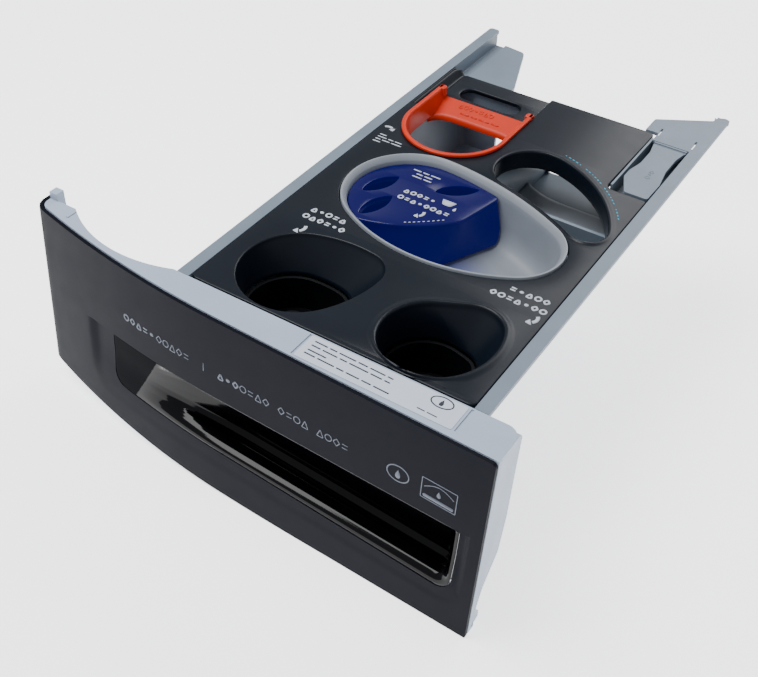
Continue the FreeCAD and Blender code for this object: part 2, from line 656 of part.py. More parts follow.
def make_carrier():
    inner = skin + fit_gap
    plate = leaning_band(inner, inner + carrier_wall, -front_height + 1.0, -0.6, 8.0)
    back_edge = -0.8
    edges, start, end = face_path(inner)
    shoulder_x, end_x = -half_deck - 44.0, -half_deck - 81.0
    shoulder = Vector(shoulder_x, face_y_at(shoulder_x) + shoulder_depth, 0)
    end_back = Vector(end_x, face_y_at(end_x) + end_depth, 0)
    top_points = [
        Part.LineSegment(start, Vector(start.x, back_edge - 7, 0)).toShape(),
        arc(Vector(start.x, back_edge - 7, 0), Vector(start.x - 2.05, back_edge - 2.05, 0),
            Vector(start.x - 7, back_edge, 0)),
        Part.LineSegment(Vector(start.x - 7, back_edge, 0), Vector(-half_deck - 9, back_edge, 0)).toShape(),
        arc(Vector(-half_deck - 9, back_edge, 0), shoulder, end_back),
        Part.LineSegment(end_back, Vector(end.x, end_back.y, 0)).toShape(),
        Part.LineSegment(Vector(end.x, end_back.y, 0), end).toShape(),
    ]
    top_wire = Part.Wire(Part.__sortEdges__(edges + top_points))
    top = Part.Face(top_wire).extrude(Vector(0, 0, -carrier_wall))
    profile = ((face_y_at(front_right) + inner - 0.1, -0.2), (-0.8, -0.2), (-2.6, -20.0), (-4.8, -49.7),
               (-8.8, -69.6), (-20.5, -83.5), (-25.0, -95.0), (-21.6, -99.5), (-21.6, -103.5),
               (-28.8, -front_height + 1.5))
    end_wall = side_plate(profile, (0, 3.0, 0, 12.0, 8.0, 4.0, 0.8, 0.8, 0.8, 0), front_right - carrier_wall,
                          front_right)
    lip = leaning_band(inner, wrap_radius - 0.6, -front_height + 0.8, -front_height + 2.8, 8.0)
    hook_back = end_back.y + hook_size - 0.5
    hook = box(end.x - 0.01, end.x + hook_size, hook_back - hook_size, hook_back, -9.0, hook_height)
    hook_post = box(end.x - 0.01, end.x + carrier_wall, hook_back - 7.5, hook_back, -front_height + 24, -0.2)
    clip_rib = box(-half_deck - 80.0, -half_deck - 78.6, 0.5, 6.5, -6.0, 0.5)
    bosses = []
    for x, z in fascia_screw_places:
        front_y = face_y_at(x) + z * lean_shift + inner + 0.5
        bosses.append(rod_y(fascia_boss_radius, x, z, front_y, tub_front - fit_gap))
    carrier = fuse([plate, top, end_wall, lip, hook, hook_post, clip_rib] + bosses)
    carrier = carrier.cut(lower_edge_cut(3.0))
    points, radii = handle_outline(-1.0)
    carrier = carrier.cut(front_cut(points, radii, -60, 2))
    for x, z in fascia_screw_places:
        carrier = carrier.cut(rod_y(fascia_screw_radius - 0.3, x, z, -12, tub_front + 1))
    for x in (label_left - 1.6, label_right + 1.2):
        carrier = carrier.cut(box(x, x + groove_width, -16.5, -1.6, -groove_depth, 1))
    return carrier


def make_handle_cup():
    points, radii = handle_outline(fit_gap)
    outer = front_cut(points, radii, -60, 30)
    shell = leaning_band(0.6, handle_depth, -front_height, 0, 0).common(outer)
    points, radii = handle_outline(fit_gap + handle_wall)
    cavity = leaning_band(-1.5, handle_depth - handle_wall, -front_height, 0, 0)
    cavity = cavity.common(front_cut(points, radii, -60, 30))
    middle_z = (handle_top + handle_bottom) / 2
    front_y = face_y_at((ramp_start + pocket_left) / 2) + middle_z * lean_shift
    back_y = front_y + handle_depth - handle_wall
    ramp = prism(rounded(((handle_left - 5, front_y - 10), (ramp_start, front_y + 1.0),
                          (pocket_left, back_y), (pocket_left, back_y + 20),
                          (handle_left - 5, back_y + 20)), (0, 12.0, 12.0, 0, 0), -120), 120)
    seam_y = face_y_at(0) + handle_bottom * lean_shift
    lip = side_plate(((seam_y - 20, handle_bottom - 10), (seam_y - 20, handle_bottom + 2.4),
                      (seam_y + 1.0, handle_bottom + 2.4), (seam_y + lip_depth, handle_bottom + lip_height),
                      (seam_y + lip_depth + 2.0, handle_bottom + lip_height),
                      (seam_y + lip_depth + 2.6, handle_bottom - 10)), (0,) * 6,
                     ramp_start, handle_right + 5)
    return shell.cut(cavity.cut(ramp).cut(lip))


def make_fascia_screws():
    screws = []
    for x, z in fascia_screw_places:
        shank = rod_y(fascia_screw_radius - 0.3, x, z, -8, tub_front + wall)
        seat = tub_front + wall
        head = rod_y(fascia_screw_head, x, z, seat, seat + fascia_screw_head_height)
        drive = rod_y(fascia_screw_drive, x, z, seat + 1.0, seat + fascia_screw_head_height + 1)
        screws.append(fuse([shank, head]).cut(drive))
    return Part.makeCompound(screws)


def make_label():
    return prism(rectangle(label_left, label_right, label_front, label_front + label_size_y, 1.0, 0.0),
                 label_thick)


parts["tray_tub"] = make_tray_tub()
parts["wash_compartment"] = make_wash_compartment()
parts["left_runner"] = make_left_runner()
parts["right_runner"] = make_right_runner()
parts["release_tab"] = make_release_tab()
parts["dispenser_cover"] = make_cover()
parts["pod_ring"] = make_pod_ring()
parts["liquid_insert"] = make_liquid_insert()
parts["bleach_siphon"] = make_siphon(bleach_foot)
parts["softener_siphon"] = make_siphon(softener_foot)
parts["fascia_panel"] = make_fascia_panel()
parts["fascia_carrier"] = make_carrier()
parts["handle_cup"] = make_handle_cup()
parts["fascia_screws"] = make_fascia_screws()
parts["top_label"] = make_label()

whole = Part.makeCompound(list(parts.values())).BoundBox
origin = Vector(-whole.Center.x, -whole.Center.y, -whole.ZMin)
print("box", whole)
print("move by", origin)
for name, shape in parts.items():
    shape.translate(origin)
    shape.exportStep(f"parts/{name}.step")
    print(name, shape.ShapeType, len(shape.Solids), "valid", shape.isValid(), round(shape.Volume))
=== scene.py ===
import math

import bpy
import bmesh
import numpy as np
from mathutils import Matrix, Vector
from mathutils.geometry import tessellate_polygon


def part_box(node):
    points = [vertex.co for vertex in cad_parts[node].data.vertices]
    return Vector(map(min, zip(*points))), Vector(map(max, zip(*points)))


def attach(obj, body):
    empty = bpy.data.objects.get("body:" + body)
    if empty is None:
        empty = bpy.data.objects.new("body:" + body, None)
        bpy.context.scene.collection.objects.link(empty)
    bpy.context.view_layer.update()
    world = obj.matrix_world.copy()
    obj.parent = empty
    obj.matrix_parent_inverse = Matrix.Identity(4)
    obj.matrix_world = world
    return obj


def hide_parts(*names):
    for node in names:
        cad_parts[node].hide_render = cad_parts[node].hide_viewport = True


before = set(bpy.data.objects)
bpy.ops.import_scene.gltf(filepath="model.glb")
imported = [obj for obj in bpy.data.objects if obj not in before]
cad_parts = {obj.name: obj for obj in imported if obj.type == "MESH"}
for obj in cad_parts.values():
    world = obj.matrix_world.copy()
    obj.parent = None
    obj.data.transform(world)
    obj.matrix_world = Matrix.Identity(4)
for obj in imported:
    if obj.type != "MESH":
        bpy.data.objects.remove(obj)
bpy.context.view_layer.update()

# Every shape below is worked out in millimetres on the drawer's own deck: X = 0 is the middle of the
# tray, Y = 0 the front of the deck and Z = 0 its top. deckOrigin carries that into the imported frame.
coverLow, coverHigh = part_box("dispenser_cover")
coverClearance = 0.35
deckOrigin = np.array([(coverLow.x + coverHigh.x) / 2, coverLow.y, coverHigh.z]) * 1000
deckOrigin[1] -= coverClearance
print("frame loaded, deck origin", np.round(deckOrigin, 2))


def arcPoints(cx, cy, radius, fromAngle, toAngle, count):
    # points on a circle between two angles in degrees, the last one left out
    a = np.radians(np.linspace(fromAngle, toAngle, count, endpoint=False))
    return np.column_stack([cx + radius * np.cos(a), cy + radius * np.sin(a)])


def circleThrough(a, b, c):
    # centre and radius, from the two lines halfway between the points
    a, b, c = (np.array(p, float) for p in (a, b, c))
    centre = np.linalg.solve(2 * np.array([b - a, c - a]), [b @ b - a @ a, c @ c - a @ a])
    return centre, np.hypot(*(a - centre))


def ovalRing(shape, grow, count=28):
    # four arcs that touch each other, all moved outward by grow: rear arc, small end, front arc, big end
    (x1, y1), r1, (x2, y2), r2, rRear, rFront = shape
    first, second = np.array([x1, y1]), np.array([x2, y2])
    r1, r2 = r1 + grow, r2 + grow
    span = np.hypot(*(second - first))
    along = (second - first) / span
    across = np.array([-along[1], along[0]])
    touches = []
    for radius, side in ((rRear + grow, 1), (rFront + grow, -1)):
        toFirst, toSecond = radius - r1, radius - r2
        reach = (toFirst ** 2 - toSecond ** 2 + span ** 2) / (2 * span)
        drop = math.sqrt(toFirst ** 2 - reach ** 2)
        centre = first + along * reach - across * side * drop
        a1 = math.degrees(math.atan2(*(first - centre)[::-1]))
        a2 = math.degrees(math.atan2(*(second - centre)[::-1]))
        touches.append((centre, radius, a1, a2))
    (rearC, rearR, rear1, rear2), (frontC, frontR, front1, front2) = touches

    def turned(a, b, down):
        # the second angle written so that the arc runs from the first in the wanted sense
        return a - (a - b) % 360 if down else a + (b - a) % 360

    parts = [arcPoints(rearC[0], rearC[1], rearR, rear1, turned(rear1, rear2, True), count),
             arcPoints(x2, y2, r2, rear2, turned(rear2, front2, True), count),
             arcPoints(frontC[0], frontC[1], frontR, front2, turned(front2, front1, True), count),
             arcPoints(x1, y1, r1, front1, turned(front1, rear1, True), count)]
    return np.vstack(parts)[::-1]


def cornered(points, radii, perCorner=6, step=4.0, closed=True):
    # an outline with each corner turned by its own radius and its straight runs divided evenly
    points = np.array(points, float)
    pieces = []
    ends = []
    for i, radius in enumerate(radii):
        here, before, after = points[i], points[i - 1], points[(i + 1) % len(points)]
        u = (before - here) / np.hypot(*(before - here))
        w = (after - here) / np.hypot(*(after - here))
        half = math.acos(np.clip(u @ w, -1, 1)) / 2
        if radius <= 0:
            ends.append((here, here, np.array([here])))
            continue
        run = radius / math.tan(half)
        centre = here + (u + w) / np.hypot(*(u + w)) * radius / math.sin(half)
        start, end = here + u * run, here + w * run
        a0 = math.atan2(*(start - centre)[::-1])
        a1 = math.atan2(*(end - centre)[::-1])
        a1 = a0 + (a1 - a0 + math.pi) % (2 * math.pi) - math.pi
        a = np.linspace(a0, a1, perCorner + 1)
        ends.append((start, end, centre + radius * np.column_stack([np.cos(a), np.sin(a)])))
    for i, (start, end, curve) in enumerate(ends):
        following = ends[(i + 1) % len(ends)][0]
        pieces.append(curve)
        if not closed and i == len(ends) - 1:
            break
        count = max(int(np.hypot(*(following - end)) / step), 1)
        t = np.linspace(0, 1, count + 1)[1:-1, None]
        pieces.append(end + (following - end) * t)
    return np.vstack(pieces)


def resampled(line, count, closed=True):
    # the same line with evenly spaced points
    if closed:
        line = np.vstack([line, line[:1]])
    run = np.concatenate([[0], np.cumsum(np.hypot(*np.diff(line, axis=0).T))])
    at = np.linspace(0, run[-1], count, endpoint=not closed)
    return np.column_stack([np.interp(at, run, line[:, k]) for k in (0, 1)])


def softened(loop, rounds):
    # each point moved to the mean of itself and its neighbours, which rounds the corners a little
    for _ in range(rounds):
        loop = (np.roll(loop, 1, 0) + 2 * loop + np.roll(loop, -1, 0)) / 4
    return loop


def signedArea(loop):
    x, y = loop.T
    return 0.5 * np.sum(x * np.roll(y, -1) - np.roll(x, -1) * y)


def offsetLoop(loop, distance):
    # a closed line moved outward along its own normals; distance may differ from point to point
    tangent = np.roll(loop, -1, 0) - np.roll(loop, 1, 0)
    tangent /= np.maximum(np.hypot(*tangent.T), 1e-9)[:, None]
    normal = np.column_stack([tangent[:, 1], -tangent[:, 0]]) * np.sign(signedArea(loop))
    return loop + normal * np.broadcast_to(distance, len(loop))[:, None]


def insideLoop(loop, points):
    # counts how often a line going right from each point crosses the loop
    x, y = points[:, 0][:, None], points[:, 1][:, None]
    ax, ay = loop[:, 0][None], loop[:, 1][None]
    bx, by = np.roll(loop[:, 0], -1)[None], np.roll(loop[:, 1], -1)[None]
    crosses = (ay > y) != (by > y)
    at = ax + (y - ay) * (bx - ax) / np.where(by == ay, 1e-12, by - ay)
    return (np.sum(crosses & (x < at), axis=1) % 2) == 1


def keptRun(loop, keep):
    # the points to keep, in order, from where the kept stretch starts
    start = int(np.where(keep & ~np.roll(keep, 1))[0][0])
    return np.roll(loop, -start, 0)[np.roll(keep, -start)]


def clipped(loop, cutter, keepInside, count):
    # the part of one outline inside (or outside) another, closed along the other's own line
    loop, cutter = resampled(loop, 900), resampled(cutter, 900)
    first = keptRun(loop, insideLoop(cutter, loop) == keepInside)
    second = keptRun(cutter, insideLoop(loop, cutter))
    if np.hypot(*(second[0] - first[-1])) > np.hypot(*(second[-1] - first[-1])):
        second = second[::-1]
    return resampled(np.vstack([first, second]), count)


def lifted(loop, z):
    return np.column_stack([loop, np.broadcast_to(z, len(loop))])


def gridFaces(rows, columns, closed=True):
    # quads between neighbouring rows of a grid whose columns may close on themselves
    r = np.arange(rows - 1)[:, None]
    c = np.arange(columns if closed else columns - 1)[None]
    n = (c + 1) % columns
    a, b = r * columns + c, r * columns + n
    return np.stack([a, b, b + columns, a + columns], -1).reshape(-1, 4)


def stack(rings, closed=True):
    rings = np.array(rings)
    return rings.reshape(-1, 3), [tuple(q) for q in gridFaces(rings.shape[0], rings.shape[1], closed)]


def fan(ring, point):
    # triangles from a closed ring to one middle point
    n = len(ring)
    k = np.arange(n)
    faces = np.column_stack([k, (k + 1) % n, np.full(n, n)])
    return np.vstack([ring, [point]]), [tuple(f) for f in faces]


def sheet(outer, holes, z):
    # a flat sheet with holes, divided into triangles
    loops = [outer] + list(holes)
    flat = np.vstack(loops)
    faces = tessellate_polygon([[Vector((p[0], p[1], 0)) for p in loop] for loop in loops])
    return lifted(flat, z), [tuple(f) for f in faces]


def joined(parts):
    points, faces, base = [], [], 0
    for p, f in parts:
        points.append(p)
        faces += [tuple(int(i) + base for i in face) for face in f]
        base += len(p)
    return np.vstack(points), faces


def placed(name, data):
    # a new object for a mesh, lamp or camera, linked into the scene
    thing = bpy.data.objects.new(name, data)
    bpy.context.scene.collection.objects.link(thing)
    return thing


def meshOf(name, points, faces):
    # a mesh in the frame's metres from points in millimetres on the deck
    mesh = bpy.data.meshes.new(name)
    mesh.from_pydata(((points + deckOrigin) / 1000).tolist(), [], faces)
    return mesh


def addPiece(name, parts, look, body, slotName, replaced=(), up=(0, 0, 1), **edges):
    # welds the parts, points the faces outward, gives a wall and soft edges, and hands the piece to the frame
    mesh = meshOf(name, *joined(parts))
    work = bmesh.new()
    work.from_mesh(mesh)
    bmesh.ops.remove_doubles(work, verts=work.verts, dist=2e-6)
    bmesh.ops.dissolve_degenerate(work, edges=work.edges, dist=1e-7)
    bmesh.ops.recalc_face_normals(work, faces=work.faces)
    if up is not None:
        towards = sum((f.normal * f.calc_area() for f in work.faces), Vector())
        if towards.dot(Vector(up)) < 0:
            bmesh.ops.reverse_faces(work, faces=work.faces)
    work.to_mesh(mesh)
    work.free()
    piece = placed(name, mesh)
    finishPiece(piece, look, body, slotName, replaced, **edges)
    return piece


def finishPiece(piece, look, body, slotName, replaced=(), wall=0.0, bevel=0.0, sharp=32):
    mesh = piece.data
    mesh.shade_smooth()
    mesh.set_sharp_from_angle(angle=math.radians(sharp))
    mesh.materials.clear()
    mesh.materials.append(look)
    if wall > 0:
        shell = piece.modifiers.new("wall", "SOLIDIFY")
        shell.thickness, shell.offset = wall / 1000, -1
    if bevel > 0:
        edge = piece.modifiers.new("edge", "BEVEL")
        edge.width, edge.segments, edge.limit_method = bevel / 1000, 3, "ANGLE"
        edge.angle_limit = math.radians(38)
        edge.harden_normals = True
    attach(piece, body)
    if replaced:
        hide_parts(*replaced)


def softCopy(node, name, look, body, slotName, bevel):
    # the CAD piece itself with its flat faces joined and its edges softened
    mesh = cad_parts[node].data.copy()
    mesh.name = name
    work = bmesh.new()
    work.from_mesh(mesh)
    bmesh.ops.remove_doubles(work, verts=work.verts, dist=5e-6)
    bmesh.ops.dissolve_limit(work, angle_limit=math.radians(0.6), verts=work.verts, edges=work.edges)
    work.to_mesh(mesh)
    work.free()
    piece = placed(name, mesh)
    finishPiece(piece, look, body, slotName, (node,), bevel=bevel)


def noiseNode(tree, where, scale, detail):
    # a noise texture read in the object's own coordinates
    noise = tree.nodes.new("ShaderNodeTexNoise")
    noise.inputs["Scale"].default_value = scale
    noise.inputs["Detail"].default_value = detail
    tree.links.new(where.outputs["Object"], noise.inputs["Vector"])
    return noise


def mouldedPlastic(name, colour, rough, grain=1400, bump=0.05, shade=0.06, spread=0.10, transmission=0.0,
                   ior=1.5, metal=0.0, specular=0.35, glow=None, paintedLight=None):
    # fine grain in the bump, slow clouds in colour and gloss
    look = bpy.data.materials.new(name)
    look.use_nodes = True
    nodes, links = look.node_tree.nodes, look.node_tree.links
    shader = nodes["Principled BSDF"]
    where = nodes.new("ShaderNodeTexCoord")
    clouds = noiseNode(look.node_tree, where, 38, 5)
    tone = nodes.new("ShaderNodeValToRGB")
    for stop, position, change in zip(tone.color_ramp.elements, (0.32, 0.68), (1 - shade, 1 + shade)):
        stop.position = position
        stop.color = (*[min(c * change, 1) for c in colour], 1)
    links.new(clouds.outputs["Fac"], tone.inputs["Fac"])
    links.new(tone.outputs["Color"], shader.inputs["Base Color"])
    if paintedLight is not None:
        # painted light: a patch of another colour that fades out from one place, standing in for light thrown
        # through a coloured part onto this surface
        centre, reach, paintedLightColour = paintedLight
        spot = nodes.new("ShaderNodeMapping")
        spot.vector_type = "POINT"
        spot.inputs["Scale"].default_value = [1 / r for r in reach]
        spot.inputs["Location"].default_value = [-c / r for c, r in zip(centre, reach)]
        ball = nodes.new("ShaderNodeTexGradient")
        ball.gradient_type = "SPHERICAL"
        blend = nodes.new("ShaderNodeMix")
        blend.data_type = "RGBA"
        blend.inputs["B"].default_value = (*paintedLightColour, 1)
        links.new(where.outputs["Object"], spot.inputs["Vector"])
        links.new(spot.outputs["Vector"], ball.inputs["Vector"])
        links.new(ball.outputs["Fac"], blend.inputs["Factor"])
        links.new(tone.outputs["Color"], blend.inputs["A"])
        links.new(blend.outputs["Result"], shader.inputs["Base Color"])
    if glow is not None:
        shader.inputs["Emission Color"].default_value = (*glow[0], 1)
        shader.inputs["Emission Strength"].default_value = glow[1]
    smear = nodes.new("ShaderNodeMapRange")
    smear.inputs["To Min"].default_value = max(rough - spread / 2, 0.02)
    smear.inputs["To Max"].default_value = min(rough + spread / 2, 1)
    wear = noiseNode(look.node_tree, where, 95, 7)
    links.new(wear.outputs["Fac"], smear.inputs["Value"])
    links.new(smear.outputs["Result"], shader.inputs["Roughness"])
    grainNoise = noiseNode(look.node_tree, where, grain, 2)
    relief = nodes.new("ShaderNodeBump")
    relief.inputs["Strength"].default_value = bump
    relief.inputs["Distance"].default_value = 0.0002
    links.new(grainNoise.outputs["Fac"], relief.inputs["Height"])
    links.new(relief.outputs["Normal"], shader.inputs["Normal"])
    shader.inputs["Transmission Weight"].default_value = transmission
    shader.inputs["IOR"].default_value = ior
    shader.inputs["Metallic"].default_value = metal
    shader.inputs["Specular IOR Level"].default_value = specular
    return look


def srgb(r, g, b):
    # screen colour, 0 to 255, as the light value a shader wants
    c = np.array([r, g, b]) / 255
    return tuple(float(v) for v in np.where(c <= 0.04045, c / 12.92, ((c + 0.055) / 1.055) ** 2.4))


# painted light: a blue patch on the wash bowl beside the insert stands in for light passing through the blue
# insert, and it stays when the insert is lifted
paintedLightPlace = tuple((np.array([4.0, 101.0, -27.0]) + deckOrigin) / 1000)
paintedLightReach = (0.030, 0.024, 0.016)
finishes = {
    "trayGrey": mouldedPlastic("tray_satin_grey", srgb(110, 122, 135), 0.42),
    "compartmentGrey": mouldedPlastic("compartment_grey", srgb(128, 136, 147), 0.36, bump=0.04),
    # the bowl's blue patch is painted light from the insert
    "bowlGrey": mouldedPlastic("bowl_grey", srgb(132, 138, 146), 0.36, bump=0.04,
                               paintedLight=(paintedLightPlace, paintedLightReach, srgb(52, 60, 128))),
    "tabGrey": mouldedPlastic("tab_grey", srgb(108, 120, 133), 0.40),
    "coverSlate": mouldedPlastic("cover_slate", srgb(11, 18, 28), 0.34, grain=1900, bump=0.10, specular=0.22),
    # partly painted shade: the siphon caps are dark plastic, and they are made darker than the cover so the
    # cup bottoms show as shaded depth
    "siphonSlateAndShade": mouldedPlastic("siphon_slate", srgb(6, 8, 13), 0.45, grain=1900, bump=0.10, specular=0.2),
    "ringOrange": mouldedPlastic("ring_orange", srgb(198, 42, 2), 0.38, specular=0.25),
    # painted light: the insert's faint blue emission stands in for light passing through the clear blue
    # plastic
    "insertBlue": mouldedPlastic(
        "insert_blue", srgb(2, 1, 56), 0.14, grain=600, bump=0.02, shade=0.10, transmission=0.2, ior=1.45,
        spread=0.05, specular=0.25, glow=(srgb(0, 0, 190), 0.13)),
    "fasciaCharcoal": mouldedPlastic("fascia_charcoal", srgb(10, 12, 22), 0.50, grain=2600, specular=0.06),
    "carrierWhite": mouldedPlastic(
        "carrier_white", srgb(164, 176, 194), 0.44, bump=0.04, shade=0.03, specular=0.25),
    "handleBlack": mouldedPlastic(
        "handle_gloss_black", srgb(4, 4, 7), 0.09, grain=420, bump=0.03, spread=0.05, specular=0.20),
    "handleMatte": mouldedPlastic("handle_matte", srgb(4, 6, 11), 0.52, grain=2600, specular=0.02),
    "screwSteel": mouldedPlastic("screw_zinc", srgb(190, 190, 192), 0.30, grain=900, bump=0.08, metal=1.0,
                                 specular=0.5),
    "labelFilm": mouldedPlastic("label_film", srgb(196, 205, 219), 0.30, bump=0.02, shade=0.02),
}
prints = {
    "printWhite": ("print_white", srgb(186, 193, 203), 0.5),
    "printGrey": ("print_grey", srgb(92, 98, 110), 0.45),
    "printDark": ("print_dark", srgb(50, 54, 64), 0.5),
    "printTeal": ("print_teal", srgb(58, 150, 182), 0.5),
}
for key, (name, colour, rough) in prints.items():
    finishes[key] = mouldedPlastic(name, colour, rough, bump=0.03, specular=0.2)
print("finishes made:", len(finishes))


face = {
    "right": 100.0, "topY": -20.3, "toe": 1.7, "bendX": -45.0, "bow": 600.0, "leftX": -172.0,
    "wrap": 8.0, "lean": 5.17, "height": 107.1, "skin": 2.4,
}
leanShift = math.tan(math.radians(face["lean"]))


def facePoint(u, z, depth):
    # plan line: straight, then an arc of radius bow, then a small wrap, then straight back; u is X up to the
    # wrap and goes on as run length after it. depth moves inward, and the height z shears the line forward.
    u, z, depth = np.broadcast_arrays(np.asarray(u, float), z, depth)
    toe = math.radians(face["toe"])
    bendY = face["topY"] - math.tan(toe) * face["bendX"]
    endAngle = toe + math.asin((face["bendX"] - face["leftX"]) / face["bow"])
    endX = face["bendX"] + face["bow"] * (math.sin(toe) - math.sin(endAngle))
    endY = bendY + face["bow"] * (math.cos(toe) - math.cos(endAngle))
    sine = np.clip(math.sin(toe) - (u - face["bendX"]) / face["bow"], -1, 1)
    angle = np.where(u > face["bendX"], toe, np.arcsin(sine))
    x = u.copy()
    y = np.where(u > face["bendX"], face["topY"] - math.tan(toe) * u,
                 bendY + face["bow"] * (math.cos(toe) - np.cos(angle)))
    past = np.maximum(endX - u, 0)
    wrapAngle = np.minimum(endAngle + past / face["wrap"], math.pi / 2)
    wrapX = endX + face["wrap"] * (math.sin(endAngle) - np.sin(wrapAngle))
    wrapY = endY + face["wrap"] * (math.cos(endAngle) - np.cos(wrapAngle))
    wrapY = wrapY + np.maximum(past - face["wrap"] * (math.pi / 2 - endAngle), 0)
    isWrap = u < endX
    x, y, angle = np.where(isWrap, wrapX, x), np.where(isWrap, wrapY, y), np.where(isWrap, wrapAngle, angle)
    return np.stack([x + np.sin(angle) * depth, y + np.cos(angle) * depth + z * leanShift, z], -1)


def bottomEdge(u):
    # the face's lower edge: level at the right, then a wide arc that rises towards the left end
    low = -face["height"]
    centre, radius = circleThrough((20, low), (-80, low + 2.6), (-190, low + 15.0))
    side = np.sign(low - centre[1])
    arc = centre[1] + side * np.sqrt(np.maximum(radius ** 2 - (u - centre[0]) ** 2, 0))
    return np.where(u > 20, low, arc)


def panelOutline(left, right, top, bottomLeft, bottomRight, radii, along=90, upright=22, turn=7, edge=None):
    # four sides and four round corners, always with the same number of points in each, so that two such
    # outlines can be joined point by point; order: bottom, right, top, left
    rBL, rBR, rTR, rTL = radii

    def low(u):
        if edge is not None:
            return edge(u)
        return bottomLeft + (bottomRight - bottomLeft) * (u - left) / (right - left)

    u = np.linspace(left + rBL, right - rBR, along)
    bottom = np.column_stack([u, low(u)])
    slope = np.degrees(math.atan2(bottomRight - bottomLeft, right - left)) if edge is None else 0
    cornerBR = arcPoints(right - rBR, low(right - rBR) + rBR, rBR, 270 + slope, 360, turn)
    rightSide = np.column_stack([np.full(upright, right), np.linspace(cornerBR[-1, 1], top - rTR, upright)])
    cornerTR = arcPoints(right - rTR, top - rTR, rTR, 0, 90, turn)
    topSide = np.column_stack([np.linspace(right - rTR, left + rTL, along), np.full(along, top)])
    cornerTL = arcPoints(left + rTL, top - rTL, rTL, 90, 180, turn)
    base = low(left + rBL) + rBL
    leftSide = np.column_stack([np.full(upright, left), np.linspace(top - rTL, base, upright)])
    cornerBL = arcPoints(left + rBL, base, rBL, 180, 270 + slope, turn)
    return np.vstack([bottom[:-1], cornerBR, rightSide, cornerTR, topSide, cornerTL, leftSide, cornerBL])


def dishFade(z):
    # the sunk field round the handle is full depth at its top and level with the face at its foot
    t = np.clip((z + 84.0) / 26.0, 0, 1)
    return 0.12 + 0.88 * t * t * (3 - 2 * t)


panelLook = {
    "opening": (-119.5, 88.5, -47.0, -76.6, -85.0, (8, 8, 1.2, 1.2)),
    "dishInner": (-131.0, 91.0, -45.6, -82.5, -89.5, (11, 10, 1.0, 1.0)),
    "dishOuter": (-138.5, 94.5, -45.0, -89.5, -94.0, (15, 12, 1.0, 1.0)),
    "dishDepth": 1.7, "edgeRound": 0.5, "outerRows": 26, "dishRows": 7,
}


def fasciaPanel(s):
    # rings from the handle opening, across a shallow dish, to the panel's edge, laid on the bowed face
    leftEnd = -188.0
    opening = panelOutline(*s["opening"])
    inner = panelOutline(*s["dishInner"])
    outer = panelOutline(*s["dishOuter"])
    rim = panelOutline(leftEnd, face["right"], 0.0, 0, 0, (1.5, 0.6, 2.5, 0.6), edge=bottomEdge)
    rows = [(opening, s["dishDepth"])]
    rows += [(opening + (inner - opening) * t, s["dishDepth"]) for t in (0.35, 0.7, 1.0)]
    for t in np.linspace(0, 1, s["dishRows"])[1:]:
        rows.append((inner + (outer - inner) * t, s["dishDepth"] * (1 - t * t * (3 - 2 * t))))
    for t in np.linspace(0, 1, s["outerRows"])[1:]:
        rows.append((outer + (rim - outer) * t, 0.0))
    rings = [facePoint(r[:, 0], r[:, 1], d * dishFade(r[:, 1])) for r, d in rows]
    addPiece("fascia_skin", [stack(rings)], finishes["fasciaCharcoal"], "drawer", "fascia_charcoal",
             ("fascia_panel",), up=(0, -1, 0), wall=face["skin"] - 0.4, bevel=s["edgeRound"], sharp=40)


fasciaPanel(panelLook)
print("fascia skin made")

scoopLook = {
    "left": -119.0, "right": 88.0, "top": -47.4, "bottomLeft": -76.2, "bottomRight": -84.6, "corner": 7.6,
    "faceDepth": 1.7, "columns": 300, "rows": 64,
    "rampLow": -103.0, "rampHigh": -87.0, "rampEnd": -34.0, "endStart": 77.0, "endStop": 86.5,
}


